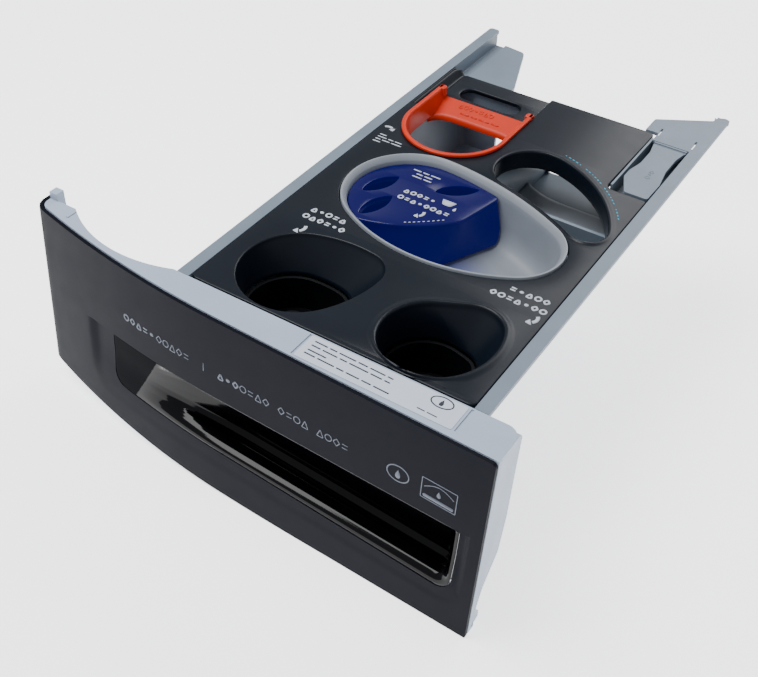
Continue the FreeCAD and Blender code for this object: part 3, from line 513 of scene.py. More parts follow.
def handleScoop(s):
    # each column is a blend of two lines: flat across the opening, and a deep pocket behind a rounded lip.
    # The blend grows along a quarter wave from the left and falls quickly at the right end.
    x = np.linspace(s["left"], s["right"], s["columns"])
    slope = (s["bottomRight"] - s["bottomLeft"]) / (s["right"] - s["left"])
    low = s["bottomLeft"] + slope * (x - s["left"])
    for end, sign in ((s["left"], 1), (s["right"], -1)):
        inset = np.clip((x - end) * sign, 0, s["corner"])
        low = low + s["corner"] - np.sqrt(s["corner"] ** 2 - (s["corner"] - inset) ** 2)
    high = np.full_like(x, s["top"])
    v = np.linspace(0, 1, s["rows"])[:, None]
    span = (high - low)[None]
    flatZ = low[None] + span * v
    flatD = s["faceDepth"] * dishFade(flatZ) + 0.1
    knotsV = np.array([0, .05, .10, .16, .22, .28, .34, .40, .46, .54, .66, .80, .90, .95, 1.0])
    knotsZ = np.array([0, .7, 2.6, 4.0, 4.3, 4.0, 2.6, 0.9, 0.4, 3.0, 12.0, 24.0, 31.0, 33.6, 35.6])
    knotsD = np.array([0.5, .3, 1.0, 3.4, 6.0, 8.4, 10.0, 12.0, 15.0, 17.2, 17.6, 17.6, 16.0, 9.0, 1.7])
    pocketZ = low[None] + np.interp(v, knotsV, knotsZ / knotsZ[-1]) * span
    pocketD = np.broadcast_to(np.interp(v, knotsV, knotsD), pocketZ.shape)
    start = s["rampLow"] + (s["rampHigh"] - s["rampLow"]) * v
    t = np.clip((x[None] - start) / (s["rampEnd"] - start), 0, 1)
    grow = np.sin(t * math.pi / 2) ** 1.25
    e = np.clip((x[None] - s["endStart"]) / (s["endStop"] - s["endStart"]), 0, 1)
    fall = np.cos(e * math.pi / 2) ** 0.8
    blend = grow * fall
    z = flatZ + (pocketZ - flatZ) * blend
    d = flatD + (pocketD - flatD) * blend
    rows = facePoint(np.broadcast_to(x[None], z.shape), z, d)
    scoop = addPiece("handle_scoop", [stack(rows, closed=False)], finishes["handleBlack"], "drawer",
                     "handle_black", ("handle_cup",), up=(0, -1, 0), wall=1.2, sharp=50)
    # the flat left end is matt, the scoop glossy: the second slot covers the faces left of the ramp
    scoop.data.materials.append(finishes["handleMatte"])
    mid = np.array([p.center for p in scoop.data.polygons]) * 1000 - deckOrigin
    height = (mid[:, 2] - s["bottomLeft"]) / (s["top"] - s["bottomLeft"])
    edge = s["rampLow"] + (s["rampHigh"] - s["rampLow"]) * height
    which = (mid[:, 0] < edge).astype(np.int32)
    scoop.data.polygons.foreach_set("material_index", which)


handleScoop(scoopLook)
print("handle scoop made")


copies = [
    ("fascia_carrier", "carrier_shell", "carrierWhite", "drawer", "carrier_white", 1.3),
    ("left_runner", "left_runner_soft", "trayGrey", "drawer", "tray_grey", 0.5),
    ("right_runner", "right_runner_soft", "trayGrey", "drawer", "tray_grey", 0.5),
    ("release_tab", "release_tab_soft", "tabGrey", "release_tab", "tab_grey", 0.5),
    ("tray_tub", "tray_tub_soft", "trayGrey", "drawer", "tray_grey", 0.6),
    # the siphon caps take the darker siphon finish, which is partly painted shade in the cups
    ("bleach_siphon", "bleach_siphon_soft", "siphonSlateAndShade", "bleach_cup", "siphon_slate", 0.4),
    ("softener_siphon", "softener_siphon_soft", "siphonSlateAndShade", "softener_cup", "siphon_slate", 0.4),
]
for node, name, look, body, slotName, bevel in copies:
    softCopy(node, name, finishes[look], body, slotName, bevel)
for node, look in (("fascia_screws", "screwSteel"), ("top_label", "labelFilm")):
    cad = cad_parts[node]
    cad.data.materials.clear()
    cad.data.materials.append(finishes[look])
print("tray and runners softened")


washOval = ((-26.3, 117.1), 37.4, (36.6, 108.4), 27.2, 176.0, 92.0)
washLook = {
    "profile": [(-2.2, -29.8), (-2.2, -5.4), (-0.4, -5.0), (0, -4.6), (0, 0.5), (-0.15, 0.8), (-0.45, 0.95),
                (-0.8, 0.95), (-1.1, 0.8), (-3.0, -1.5), (-3.3, -2.2), (-3.5, -5.0), (-4.4, -12.0),
                (-5.0, -17.0), (-5.6, -20.0), (-6.8, -23.0), (-8.6, -25.4), (-11.0, -27.1), (-14.0, -28.0),
                (-19.0, -28.0)],
    "slabHalf": 69.4, "slabFront": 69.1, "slabRear": 152.9, "slabTop": -28.2, "slabUnder": -30.0,
    "slabHole": -2.6,
}


def washCompartment(s):
    # one closed profile carried round the oval, closed above and below by fans to a middle point
    rings = [lifted(ovalRing(washOval, grow), z) for grow, z in s["profile"]]
    middle = rings[-1].mean(0)
    below = middle * [1, 1, 0] + [0, 0, s["profile"][0][1]]
    parts = [stack(rings), fan(rings[-1], middle), fan(rings[0], below)]
    addPiece("wash_bowl", parts, finishes["bowlGrey"], "drawer", "tray_grey", ("wash_compartment",), up=None,
             sharp=30)
    half, front, rear, top, under = (s["slab" + key] for key in ("Half", "Front", "Rear", "Top", "Under"))
    slab = cornered([(-half, front), (half, front), (half, rear), (-half, rear)], (1, 1, 1, 1))
    levels = [(-0.8, under), (0, under + 0.4), (0, top - 0.4), (-0.4, top)]
    rings = [lifted(offsetLoop(slab, g), z) for g, z in levels]
    parts = [stack(rings), sheet(offsetLoop(slab, -0.4), [ovalRing(washOval, s["slabHole"])], top),
             sheet(offsetLoop(slab, -0.8), [], under)]
    addPiece("wash_floor_plate", parts, finishes["trayGrey"], "drawer", "tray_grey", up=None)


rampLook = {
    "left": -4.0, "right": 66.5, "middle": 31.0, "half": 36.0, "front": 152.6, "run": 60.0,
    "top": -28.4, "fall": 14.5, "cupping": 7.0, "wall": 1.2,
}


def prewashFloor(s):
    # a smooth ramp from the wash floor's rear edge down towards the outlet, cupped at both sides
    x = np.linspace(s["left"], s["right"], 50)[None]
    v = np.linspace(0, 1, 30)[:, None]
    z = s["top"] - s["fall"] * np.sin(v * math.pi / 2) ** 1.5
    z = z + s["cupping"] * np.abs((x - s["middle"]) / s["half"]) ** 4 * v
    x, y = np.broadcast_arrays(x, s["front"] + s["run"] * v)
    addPiece("prewash_floor", [stack(np.stack([x, y, z], -1), closed=False)], finishes["compartmentGrey"],
             "drawer", "tray_grey", wall=s["wall"])


washCompartment(washLook)
prewashFloor(rampLook)
print("wash compartment made")


bleachOval = ((-36.8, 32.0), 29.6, (-16.1, 48.7), 14.4, 63.0, 61.0)
bleachFoot = ((-38.2, 26.5), 24.0, (-28.0, 33.0), 17.0, 63.0, 61.0)
softenerOval = ((40.6, 26.4), 24.8, (50.3, 41.2), 15.9, 900.0, 36.7)
softenerFoot = ((39.0, 24.5), 21.8, (47.5, 33.0), 11.5, 900.0, 36.7)
prewashOval = ((17.3, 169.9), 21.5, (61.5, 140.4), 10.7, 76.0, 157.6)
podCentre = (-40.3, 186.0)

coverLook = {
    "side": 76.65, "front": 0.4, "rear": 246.0, "edge": 0.8, "wall": 1.8, "drop": 3.0,
    "recessLeft": -75.4, "flankRun": 4.6, "recessRight": -10.5, "recessFront": 196.0, "recessRear": 250.2,
    "recessDepth": 5.0, "shelfFront": 221.2, "funnelLip": 0.9, "washLip": 0.6, "shelfLip": 0.6,
    "slot": (-42.9, 231.0, 39.0, 13.4), "podHole": 29.6, "bayLeft": 53.6, "bayFront": 180.9,
    "funnelDepth": 18.0, "prewashSkirt": 10.0, "bridge": 2.6, "washGap": 0.45,
}


def roundOver(loop, radius, outward, steps=4, scale=1.0):
    # rings that turn from the flat top over a quarter circle; outward is +1 for a hole and -1 for the edge
    angles = np.linspace(0, math.pi / 2, steps + 1)
    reach = outward * radius * scale
    return [lifted(offsetLoop(loop, reach * (1 - math.sin(a))), radius * (math.cos(a) - 1)) for a in angles]


def funnelWall(mouth, foot, start, depth):
    # rings from just under a funnel's mouth down to its foot, in even steps
    steps = np.linspace(0, 1, 13)[1:]
    return [lifted(mouth + (foot - mouth) * t, -start - (depth - start) * t) for t in steps]


def turnedBy(loop, degrees):
    a = math.radians(degrees)
    return loop @ np.array([[math.cos(a), math.sin(a)], [-math.sin(a), math.cos(a)]])


def podHalfCircle(radius, count):
    # the front half of a circle round the pod opening's middle, from right to left
    a = np.radians(np.linspace(0, -180, count))
    return np.column_stack([podCentre[0] + radius * np.cos(a), podCentre[1] + radius * np.sin(a)])


def slotOutline(cx, cy, length, width, count=16):
    r = width / 2
    return np.vstack([arcPoints(cx + length / 2 - r, cy, r, -90, 90, count),
                      arcPoints(cx - length / 2 + r, cy, r, 90, 270, count)])


def lippedHole(loop, rise, reach, scale=1.0):
    # a soft raised lip round a hole: from the deck up to a crest and down into the hole
    profile = [(1.0, 0.0), (0.78, 0.22), (0.58, 0.62), (0.42, 0.92), (0.27, 1.0), (0.13, 0.78), (0.04, 0.2),
               (0.0, -0.8)]
    return [lifted(offsetLoop(loop, reach * g * scale), rise * z) for g, z in profile]


def dispenserCover(s):
    bleach, bleachLow = ovalRing(bleachOval, 0), ovalRing(bleachFoot, 0)
    softener, softenerLow = ovalRing(softenerOval, 0), ovalRing(softenerFoot, 0)
    wash = ovalRing(washOval, s["washGap"])
    bridge = ovalRing(washOval, s["bridge"], 120)
    prewash = softened(clipped(ovalRing(prewashOval, 0, 120), bridge, False, 220), 14)
    apart = prewash[:, None] - ovalRing(washOval, 0, 60)[None]
    nearWash = np.min(np.hypot(*apart.transpose(2, 0, 1)), axis=1)
    prewashScale = np.clip((nearWash - 2.2) / 9.0, 0.22, 1.0)
    prewashScale = softened(np.column_stack([prewashScale] * 2), 20)[:, 0]

    bleachRings = roundOver(bleach, s["funnelLip"], 1)
    bleachRings += funnelWall(bleach, bleachLow, s["funnelLip"], s["funnelDepth"])
    softenerScale = np.clip((softener[:, 1] - 1.0) / 14.0, 0.10, 1.0)
    softenerRings = lippedHole(softener, 1.15, 5.4, softenerScale)
    softenerRings += funnelWall(softener, softenerLow, 0.92, s["funnelDepth"])
    prewashRings = lippedHole(prewash, 0.7, 4.0, prewashScale)
    prewashRings += [lifted(prewash, z) for z in np.linspace(-0.7, -s["prewashSkirt"], 6)]
    washRings = roundOver(wash, s["washLip"], 1, 3) + [lifted(wash, -2.4)]

    podArc = podHalfCircle(s["podHole"], 49)
    frontAndRight = cornered(
        [(-s["side"], 60), (-s["side"], s["front"]), (s["side"], s["front"]), (s["side"], s["bayFront"]),
         (s["bayLeft"], s["bayFront"]), (s["bayLeft"] + 0.6, s["rear"]), (s["recessRight"], s["rear"]),
         (s["recessRight"], s["recessFront"] + 1)], (0, 3.5, 3.5, 1.5, 4.0, 3.5, 1.2, 0), closed=False)
    leftRun = np.linspace(s["recessFront"], s["rear"] - 0.5, 30)
    leftTop = np.column_stack([np.full(30, s["recessLeft"]), leftRun])
    tip = np.array([[s["recessLeft"] - 0.15, s["rear"] + 0.6], [-s["side"] + 0.5, s["rear"] + 1.4]])
    leftSide = np.column_stack([np.full(50, -s["side"]), np.linspace(s["rear"] + 0.9, 62, 50)])
    podEnd = [[podCentre[0] - s["podHole"], s["recessFront"]]]
    line = np.vstack([frontAndRight, podArc, podEnd, leftTop, tip, leftSide])
    turnIn = np.where((line[:, 0] < -68) & (line[:, 1] > 190), 0.25, s["edge"])
    edgeRings = roundOver(line, s["edge"], -1, 4, turnIn / s["edge"]) + [lifted(line, -s["drop"])]
    holes = [bleachRings[0][:, :2], softenerRings[0][:, :2], prewashRings[0][:, :2], washRings[0][:, :2]]
    parts = [sheet(edgeRings[0][:, :2], holes, 0.0), stack(edgeRings)]
    parts += [stack(r) for r in (bleachRings, softenerRings, prewashRings, washRings)]
    addPiece("cover_deck", parts, finishes["coverSlate"], "cover", "cover_slate", ("dispenser_cover",),
             wall=s["wall"], sharp=40)


def coverShelf(s):
    # the sunk shelf behind the pod opening, with a finger slot and an S-shaped flank on its left
    right, left = s["recessRight"] - 0.1, s["recessLeft"] + s["flankRun"]
    front, rear, depth = s["shelfFront"], s["recessRear"], s["recessDepth"]
    shelf = cornered([(left, front), (right, front), (right, rear), (left, rear)], (0, 0, 2.0, 2.5))
    slot = slotOutline(*s["slot"])
    sunk = np.array([0, 0, depth])
    slotRings = [r - sunk for r in roundOver(slot, 0.8, 1)] + [lifted(slot, -depth - 2.4)]
    edge = [r - sunk for r in roundOver(shelf, s["shelfLip"], -1, 3)] + [lifted(shelf, -depth - 1.8)]
    # the flank falls along a smooth step; at its rear end it also curls inward and down
    t = np.linspace(0, 1, 13)[:, None]
    y = np.linspace(s["recessFront"], rear - 1.0, 40)[None]
    curl = np.clip((y - (s["rear"] - 3.5)) / 6.5, 0, 1) ** 2 * 0.75
    x = s["recessLeft"] + 0.1 + s["flankRun"] * t + curl * 2.6 * (1 - t)
    z = -0.3 - (depth - 0.3) * (3 * t ** 2 - 2 * t ** 3) - curl * 2.2 * (1 - t)
    flank = np.stack(np.broadcast_arrays(x, y, z), -1)
    parts = [sheet(edge[0][:, :2], [slotRings[0][:, :2]], -depth), stack(edge), stack(slotRings),
             stack(flank, closed=False)]
    addPiece("cover_shelf", parts, finishes["coverSlate"], "cover", "cover_slate", wall=1.6, sharp=40)


dispenserCover(coverLook)
coverShelf(coverLook)
print("cover made")


ringLook = {
    "radius": 30.8, "rear": 221.5, "top": 1.74, "bottom": 0.36, "depth": 10.0, "taper": 1.7,
    "panelFront": 209.0, "panelLow": -9.4, "panelHigh": -4.4, "panelWall": 1.6,
}


def capped(lines):
    # lines side by side that close into a tube, with a fan over the tube's first and last end
    tube = np.array([*lines, lines[0]])
    return [stack(tube, closed=False)] + [fan(tube[:-1, k], tube[:-1, k].mean(0)) for k in (0, -1)]


def podRing(s):
    # a U-shaped path carried round a closed section: flat rim on top, a thin skirt hanging inside it
    legs = np.linspace(s["rear"], podCentre[1], 20, endpoint=False)
    path = np.vstack([
        np.column_stack([np.full(20, podCentre[0] + s["radius"]), legs]),
        podHalfCircle(s["radius"], 73),
        np.column_stack([np.full(20, podCentre[0] - s["radius"]), legs[::-1]])])
    middle = np.array(podCentre)
    inward = np.where(path[:, 1:] > middle[1], np.sign(middle[0] - path[:, :1]) * [1, 0],
                      (middle - path) / np.maximum(np.hypot(*(middle - path).T), 1e-9)[:, None])
    low = -s["depth"]
    section = [(0.0, s["bottom"]), (0.0, 1.1), (0.15, 1.5), (0.5, s["top"]), (1.9, s["top"]), (2.35, 1.62),
               (2.7, 1.2), (2.95, 0.2), (3.1, -2.0), (3.1 + s["taper"] * 0.8, low + 0.4),
               (3.0 + s["taper"] * 0.8, low), (1.9 + s["taper"], low), (1.75, -2.0), (1.7, s["bottom"])]
    body = capped([lifted(path + inward * across, height) for across, height in section])
    # the sloping panel between the legs, with a rounded front edge
    half = s["radius"] - 2.2
    x = np.linspace(-half, half, 41)[None] + podCentre[0]
    v = np.linspace(0, 1, 17)[:, None]
    dipFront = 5.0 * (np.abs(x - podCentre[0]) / half) ** 6
    y = s["rear"] - 0.6 + (s["panelFront"] - s["rear"] - dipFront) * v
    z = s["panelHigh"] + (s["panelLow"] - s["panelHigh"]) * (y - s["rear"]) / (s["panelFront"] - s["rear"])
    z = z - 1.2 * np.clip((v - 0.9) / 0.1, 0, 1) ** 2
    panel = np.stack([np.broadcast_to(x, z.shape), y, z], -1)
    back = panel[::-1] - [0, 0, s["panelWall"]]
    slab = capped([*panel, *back])
    # an ear at the end of each leg reaches back over the shelf
    ears = []
    for side in (-1, 1):
        cx = podCentre[0] + side * (s["radius"] - 2.2)
        base = cornered([(cx - 2.2, s["rear"] - 4), (cx + 2.2, s["rear"] - 4), (cx + 2.2, s["rear"] + 0.5),
                         (cx - 2.2, s["rear"] + 0.5)], (0.8, 0.8, 1.6, 1.6), step=1.5)
        levels = [(0, -3.6), (0, 1.1), (-0.15, 1.5), (-0.5, s["top"])]
        rings = [lifted(offsetLoop(base, g), z) for g, z in levels]
        ears += [stack(rings), fan(rings[-1], rings[-1].mean(0)), fan(rings[0], rings[0].mean(0))]
    orange = finishes["ringOrange"]
    addPiece("pod_ring_orange", body, orange, "ring", "ring_orange", ("pod_ring",), up=None)
    addPiece("pod_ring_panel", slab, orange, "ring", "ring_orange", up=None)
    addPiece("pod_ring_ears", ears, orange, "ring", "ring_orange", up=None)


podRing(ringLook)
print("pod ring made")


insertLook = {
    "edge": ((-46.0, 85.6), (-11.6, 99.3), (4.6, 115.3), (11.4, 147.0)), 
    "top": -3.3, "wall": 1.5, "thick": 1.5, "seat": -4.0,
    "wallHigh": ((-45, 87.2), (-12.1, 100.6), (4.3, 115.0), (11.1, 146)),
    "wallLow": ((-44, 79.5), (-17, 88.5), (1.2, 103.8), (18.6, 140)),
    "wallLevels": [(-4.6, -4.4, 0), (-5.4, -4.4, 0), (-13.0, -5.3, 0.38), (-18.5, -6.1, 0.65),
                   (-22.5, -7.9, 0.85), (-24.8, -9.7, 0.96), (-25.7, -11.1, 0.98)],
    "grips": ((-47.6, 120.2, 67), (-39.4, 102.4, 76), (-11.0, 137.4, 38)),
    "gripLength": 24.0, "gripWidth": 8.8, "gripEdge": ((0.5, 0), (0.2, 0.12), (0.0, 0.5), (-0.1, 3.4)),
}


def behindEdge(points):
    # the region behind the insert's front edge: an arc through three points, a straight run, then far corners
    p = np.array(points)
    a, b, c = p[:3]
    centre, radius = circleThrough(a, b, c)
    start, end = (math.degrees(math.atan2(*(q - centre)[::-1])) for q in (a, c))
    end = start + (end - start + 180) % 360 - 180
    bow = arcPoints(centre[0], centre[1], radius, start, end, 60)
    run = np.column_stack([np.linspace(c[0], p[3, 0], 30), np.linspace(c[1], p[3, 1], 30)])
    return np.vstack([bow, run, [[p[3, 0] + 2, 170], [-90, 170], [-90, a[1]]]])


def gripOutline(cx, cy, turn, length, width, count=14):
    # two equal arcs that meet in soft points
    half, rise = length / 2, width / 2
    radius = (half ** 2 + rise ** 2) / (2 * rise)
    t = np.linspace(-half, half, count)
    bulge = np.sqrt(radius ** 2 - t ** 2) - (radius - rise)
    loop = np.vstack([np.column_stack([t, -bulge]), np.column_stack([t[::-1], bulge[::-1]])[1:-1]])
    return resampled(softened(resampled(turnedBy(loop, turn) + [cx, cy], 60), 2), 60)


def liquidInsert(s):
    plate = softened(clipped(ovalRing(washOval, s["seat"], 120), behindEdge(s["edge"]), True, 260), 6)
    top = s["top"]
    rim = [(0.9, 0.0), (0.5, 0.08), (0.2, 0.3), (0.0, 0.8), (0.0, s["thick"])]
    edge = [lifted(offsetLoop(plate, -g), top - d) for g, d in rim]
    holes = []
    gripRings = []
    for cx, cy, turn in s["grips"]:
        grip = gripOutline(cx, cy, turn, s["gripLength"], s["gripWidth"])
        gripRings.append([lifted(offsetLoop(grip, g), top - d) for g, d in s["gripEdge"]])
        holes.append(gripRings[-1][0][:, :2])
    parts = [sheet(edge[0][:, :2], holes, top), stack(edge)] + [stack(r) for r in gripRings]
    blue = finishes["insertBlue"]
    addPiece("insert_plate", parts, blue, "insert", "insert_blue", ("liquid_insert",), wall=0.9, sharp=40)
    highEdge, lowEdge = (np.array(s[k]) for k in ("wallHigh", "wallLow"))
    walls = []
    for z, seat, t in s["wallLevels"]:
        cut = behindEdge(highEdge + (lowEdge - highEdge) * t)
        walls.append(lifted(softened(clipped(ovalRing(washOval, seat, 120), cut, True, 260), 6), z))
    addPiece("insert_walls", [stack(walls)], blue, "insert", "insert_blue", up=None, wall=s["wall"], sharp=40)


liquidInsert(insertLook)
print("insert made")


printHeight = 0.07


def bar(cx, cy, length, width, angle=0.0):
    # a short dash with round ends, as an outline
    loop = slotOutline(0, 0, max(length, width + 0.02), width, 6)
    return turnedBy(loop, angle) + [cx, cy]


def filled(loop):
    return fan(lifted(loop, 0.0), [*loop.mean(0), 0.0])


def outlined(loop, width):
    # a closed line of even width
    return stack([lifted(offsetLoop(loop, width / 2), 0.0), lifted(offsetLoop(loop, -width / 2), 0.0)])


def curvedLine(points, width):
    # an open line of even width through a few points
    points = np.array(points, float)
    tangent = np.gradient(points, axis=0)
    tangent /= np.hypot(*tangent.T)[:, None]
    normal = np.column_stack([-tangent[:, 1], tangent[:, 0]]) * width / 2
    return stack([lifted(points + normal, 0.0), lifted(points - normal, 0.0)], closed=False)


def dashRow(cx, cy, lengths, width, gap, angle=0.0):
    # a row of dashes of the given lengths, centred on one point
    total = sum(lengths) + gap * (len(lengths) - 1)
    a = math.radians(angle)
    parts, at = [], -total / 2
    for length in lengths:
        middle = at + length / 2
        parts.append(filled(bar(cx + middle * math.cos(a), cy + middle * math.sin(a), length, width, angle)))
        at += length + gap
    return parts


def glyphRow(cx, cy, pattern, cap, stroke, angle=0.0):
    # a row of small plain shapes of one height: ring, diamond, triangle, pill, pair of bars
    step = cap * 0.98
    a = math.radians(angle)
    parts = []
    for k, shape in enumerate(pattern):
        along = (k - (len(pattern) - 1) / 2) * step
        x, y = cx + along * math.cos(a), cy + along * math.sin(a)
        half = (cap - stroke) / 2
        reach = half * 0.86
        if shape == "o":
            parts.append(outlined(circleLoop(x, y, reach, reach, 24), stroke))
        elif shape in "dt":
            corners = [(x - reach, y), (x, y - half), (x + reach, y), (x, y + half)]
            if shape == "t":
                corners = [(x - reach, y - half), (x + reach, y - half), (x, y + half)]
            parts.append(outlined(cornered(corners, (stroke * .5,) * len(corners), 3, cap / 3), stroke))
        elif shape == "p":
            parts.append(filled(slotOutline(x, y, cap * 0.5, cap * 0.42, 8)))
        elif shape == "q":
            parts += [filled(bar(x, y + d, cap * 0.66, stroke)) for d in (-half * 0.5, half * 0.5)]
    return parts


def circleLoop(cx, cy, rx, ry=None, count=40):
    return arcPoints(0, 0, 1, 0, 360, count) * [rx, ry or rx] + [cx, cy]


def dropLoop(cx, cy, size):
    # a drop: round below, drawn to a point above
    t = np.linspace(0, 2 * math.pi, 40, endpoint=False)
    across = np.sin(t) * np.sin(t / 2) ** 1.6 * 0.55
    return np.column_stack([across, np.cos(t) * 0.72]) * size + [cx, cy]


def hookArrow(cx, cy, size, turn):
    # a quarter-circle line that ends in an arrow head
    a = np.radians(np.linspace(100, 10, 14))
    line = np.column_stack([np.cos(a), np.sin(a)]) * size * 0.5
    head = np.array([[0.18, -0.02], [0.80, 0.02], [0.46, -0.42]]) * size
    line, head = (turnedBy(part, turn) + [cx, cy] for part in (line, head))
    return [curvedLine(line, size * 0.26), filled(resampled(head, 12))]


def printOn(name, parts, look, body, level, slotName, surface=None):
    # lays flat marks on a level, or on a surface function, and gives them a little thickness
    points, faces = joined(parts)
    up = (0, 0, 1) if surface is None else (0, -1, 0)
    points = points + [0, 0, level + printHeight] if surface is None else surface(points)
    mesh = meshOf(name, points, faces)
    work = bmesh.new()
    work.from_mesh(mesh)
    work.normal_update()
    for f in work.faces:
        if f.normal.dot(Vector(up)) < 0:
            f.normal_flip()
    work.to_mesh(mesh)
    work.free()
    piece = placed(name, mesh)
    finishPiece(piece, look, body, slotName, wall=printHeight, sharp=40)


def onFace(points):
    # marks drawn in X and height, laid on the bowed face a hair in front of it
    return facePoint(points[:, 0], points[:, 1], -0.045)


def marksFrom(s):
    # every mark that a sheet lists: rows of shapes, arrows, rows of dashes, ovals, drops and bars
    makers = {
        "rows": glyphRow, "arrows": hookArrow, "dashes": dashRow,
        "ovals": lambda *oval: [outlined(circleLoop(*oval), 0.6)],
        "drops": lambda *drop: [filled(dropLoop(*drop))], "bars": lambda *dash: [filled(bar(*dash))],
    }
    return [part for kind, make in makers.items() for mark in s.get(kind, ()) for part in make(*mark)]


frontLook = {
    "rows": ((-96.5, -28.6, "odtqp", 4.6, 0.9, -1.6), (-73.5, -29.3, "dotdq", 4.6, 0.5, -1.6),
             (-38.5, -30.3, "tpd", 4.6, 0.95, -1.6), (-22.8, -30.8, "oqtd", 4.6, 0.5, -1.6),
             (-0.5, -31.4, "dqot", 4.6, 0.5, -1.6), (21.5, -32.0, "todq", 4.6, 0.5, -1.6)),
    "ovals": ((56.2, -31.0, 5.6, 4.3),), "drops": ((56.2, -31.2, 3.4), (76.9, -30.8, 2.6)),
    "bars": ((-53.6, -29.9, 4.8, 0.42, 90), (76.9, -35.0, 15.4, 1.9, -1.6)),
    "frame": ((68.2, -36.4), (85.6, -36.9), (85.6, -25.6), (68.2, -25.1)),
    "bowLeft": 69.5, "bowLevel": -29.9, "bowSpan": 14.8, "bowRise": 3.0,
}


def frontMarks(s):
    # rows of small shapes split by a thin upright, an oval with a drop, and a framed curve
    t = np.linspace(0, 1, 20)
    bow = [s["bowLeft"] + s["bowSpan"] * t, s["bowLevel"] + s["bowRise"] * np.sin(math.pi * t)]
    parts = marksFrom(s) + [outlined(cornered(s["frame"], (0.3,) * 4, 2), 0.45)]
    parts.append(curvedLine(np.transpose(bow), 0.4))
    printOn("front_marks", parts, finishes["printGrey"], "drawer", 0, "label_grey", onFace)


topLook = {
    "dashes": [(middle, y, lengths, 0.75, 1.1, -1.2) for middle, y, lengths in (
        (19.5, -4.6, (7, 4, 9, 5, 8, 3)), (19.5, -7.4, (5, 8, 4, 10, 6, 3)), (4.0, -10.2, (10,)),
        (21.0, -13.0, (6, 9, 4, 7, 5, 8)))] + [(62.0, -13.6, (4, 5), 0.55, 0.9, -1.2)],
    "ovals": ((64.5, -5.2, 5.2, 3.1),), "drops": ((64.5, -5.4, 2.6),),
}
deckLook = {
    "rows": ((-50.6, 76.8, "tpoqt", 4.4, 1.0), (-49.2, 70.2, "otdqpd", 4.4, 1.0),
             (62.2, 78.2, "qptod", 4.4, 1.0), (59.6, 71.2, "doqtpdo", 4.4, 1.0)),
    "arrows": ((-57.6, 60.6, 7.0, -60), (69.4, 64.6, 7.0, -60), (-71.4, 162.4, 6.4, 40)),
    "dashes": ((-69.85, 156.6, (4.5,), 0.9, 0.9), (-64.1, 154.1, (6, 3.5, 4.5), 0.9, 0.9),
               (-63.6, 151.6, (3.5, 5, 6.5), 0.9, 0.9), (-69.6, 149.1, (5.0,), 0.9, 0.9)),
}
arcLook = {"gap": 5.3, "left": 23.0, "front": 158.0, "count": 24, "long": 1.7, "short": 0.9, "width": 0.8}


def arcMarks(s):
    # a curved row of dashes behind the prewash opening: each fourth is short, and a few are left out
    loop = ovalRing(prewashOval, s["gap"], 120)
    rear = loop[(loop[:, 0] > s["left"]) & (loop[:, 1] > s["front"])]
    path = resampled(rear[np.argsort(rear[:, 0])], s["count"], closed=False)
    heading = np.degrees(np.arctan2(*np.gradient(path, axis=0).T[::-1]))
    lengths = [s["long"] if k % 4 else s["short"] for k in range(s["count"])]
    kept = [k for k in range(s["count"]) if k % 7 != 5]
    parts = marksFrom({"bars": [(*path[k], lengths[k], s["width"], heading[k]) for k in kept]})
    printOn("arc_marks", parts, finishes["printTeal"], "cover", 0.0, "label_grey")


plateLook = {
    "rows": ((-24.5, 121.9, "todqp", 4.0, 0.95), (-18.6, 115.6, "oqtpdotq", 4.0, 0.95)),
    "dashes": ((-32.0, 141.4, (5, 4, 6), 0.95, 0.9), (-32.0, 138.6, (4, 5), 0.95, 0.9),
               (-32.0, 135.8, (6, 5), 0.95, 0.9)),
    "arrows": ((-17.6, 108.8, 6.2, -60),), "drops": ((-3.4, 121.6, 2.2),),
    "cup": ((-13.2, 126.6), (-11.4, 122.2), (-6.6, 122.2), (-4.8, 126.6)), "cupCorners": (0.4, 1.6, 1.6, 0.4),
    "lineStart": (-18.6, 97.8), "lineReach": (15.0, 12.6), "lineCount": 9,
}


def plateMarks(s):
    # rows of small shapes, a cup, a drop, an arrow and a dotted line on the insert's plate
    (x, y), (across, along) = s["lineStart"], s["lineReach"]
    dots = [(x + across * t, y + along * t ** 1.1, 1.3, 0.55, 40 + 12 * t)
            for t in np.linspace(0, 1, s["lineCount"])]
    parts = marksFrom(s) + marksFrom({"bars": dots}) + [filled(cornered(s["cup"], s["cupCorners"], 4))]
    printOn("insert_marks", parts, finishes["printWhite"], "insert", insertLook["top"], "label_grey")


ringMarks = {
    "rows": ((-44.5, 217.6, "todpqto", 3.4, 0.7),), "dashes": ((-40.0, 213.0, (6, 4, 7, 5), 1.0, 1.2),),
    "rise": 0.22,
}
tabMarks = {"rows": ((68.0, 205.0, "tpo", 3.2, 0.5, -90),)}


def onPanel(points):
    # marks laid on the ring's sloping panel
    run = (points[:, 1] - ringLook["rear"]) / (ringLook["panelFront"] - ringLook["rear"])
    level = ringLook["panelHigh"] + (ringLook["panelLow"] - ringLook["panelHigh"]) * run
    return np.column_stack([points[:, 0], points[:, 1], level + ringMarks["rise"]])


frontMarks(frontLook)
printOn("top_marks", marksFrom(topLook), finishes["printDark"], "drawer", 0.25, "label_grey")
printOn("deck_marks", marksFrom(deckLook), finishes["printWhite"], "cover", 0.0, "label_grey")
arcMarks(arcLook)
plateMarks(plateLook)
printOn("ring_marks", marksFrom(ringMarks), finishes["ringOrange"], "ring", 0, "ring_orange", onPanel)
printOn("tab_mark", marksFrom(tabMarks), finishes["tabGrey"], "release_tab", 0.0, "tab_grey")
print("marks made")


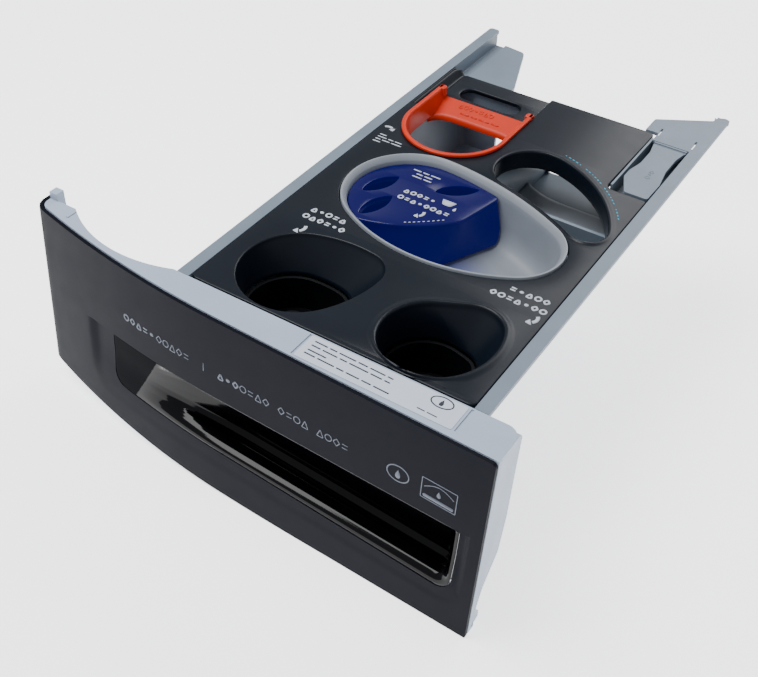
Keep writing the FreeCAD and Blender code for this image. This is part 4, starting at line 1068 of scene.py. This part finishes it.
def studio():
    floorMesh = bpy.data.meshes.new("studio_floor")
    size = 6.0
    corners = [(-size, -size, 0), (size, -size, 0), (size, size, 0), (-size, size, 0)]
    floorMesh.from_pydata(corners, [], [(0, 1, 2, 3)])
    paper = mouldedPlastic("studio_paper", (0.96, 0.96, 0.97), 0.9, grain=30, bump=0.01, shade=0.01,
                           specular=0.1, glow=((1, 1, 1), 1.8))
    floorMesh.materials.append(paper)
    placed("studio_floor", floorMesh)
    world = bpy.data.worlds.new("studio_sky")
    bpy.context.scene.world = world
    world.use_nodes = True
    world.node_tree.nodes["Background"].inputs["Color"].default_value = (0.95, 0.97, 1.0, 1)
    world.node_tree.nodes["Background"].inputs["Strength"].default_value = 0.55
    lamps = [
        ("key_soft", (-0.45, -0.25, 1.25), 0.8, 19),
        ("fill_right", (1.1, -0.1, 0.8), 0.9, 0.4),
        ("rim_back", (0.1, 1.1, 0.9), 0.8, 9),
    ]
    target = Vector((0, 0, 0.05))
    for name, place, width, power in lamps:
        lamp = bpy.data.lights.new(name, "AREA")
        lamp.shape, lamp.size, lamp.energy = "SQUARE", width, power
        holder = placed(name, lamp)
        holder.location = place
        holder.rotation_euler = (target - Vector(place)).to_track_quat("-Z", "Y").to_euler()


studio()

cameraLook = {
    "azimuth": 32.0, "elevation": 41.87, "roll": 1.75, "place": (216.05, -299.06, 330.40), "lens": 53.2,
}


def addCamera(s):
    a, e, roll = (math.radians(s[k]) for k in ("azimuth", "elevation", "roll"))
    back = Vector((math.sin(a) * math.cos(e), -math.cos(a) * math.cos(e), math.sin(e)))
    right = Vector((math.cos(a), math.sin(a), 0))
    upward = back.cross(right)
    turned = right * math.cos(roll) + upward * math.sin(roll)
    upward = upward * math.cos(roll) - right * math.sin(roll)
    lens = bpy.data.cameras.new("studio_lens")
    lens.lens, lens.sensor_width, lens.sensor_fit = s["lens"], 36.0, "HORIZONTAL"
    lens.clip_start, lens.clip_end = 0.01, 20
    camera = placed("studio_camera", lens)
    camera.matrix_world = Matrix((turned, upward, back)).transposed().to_4x4()
    camera.location = Vector((np.array(s["place"]) + deckOrigin) / 1000)
    bpy.context.scene.camera = camera


addCamera(cameraLook)
print("studio ready")
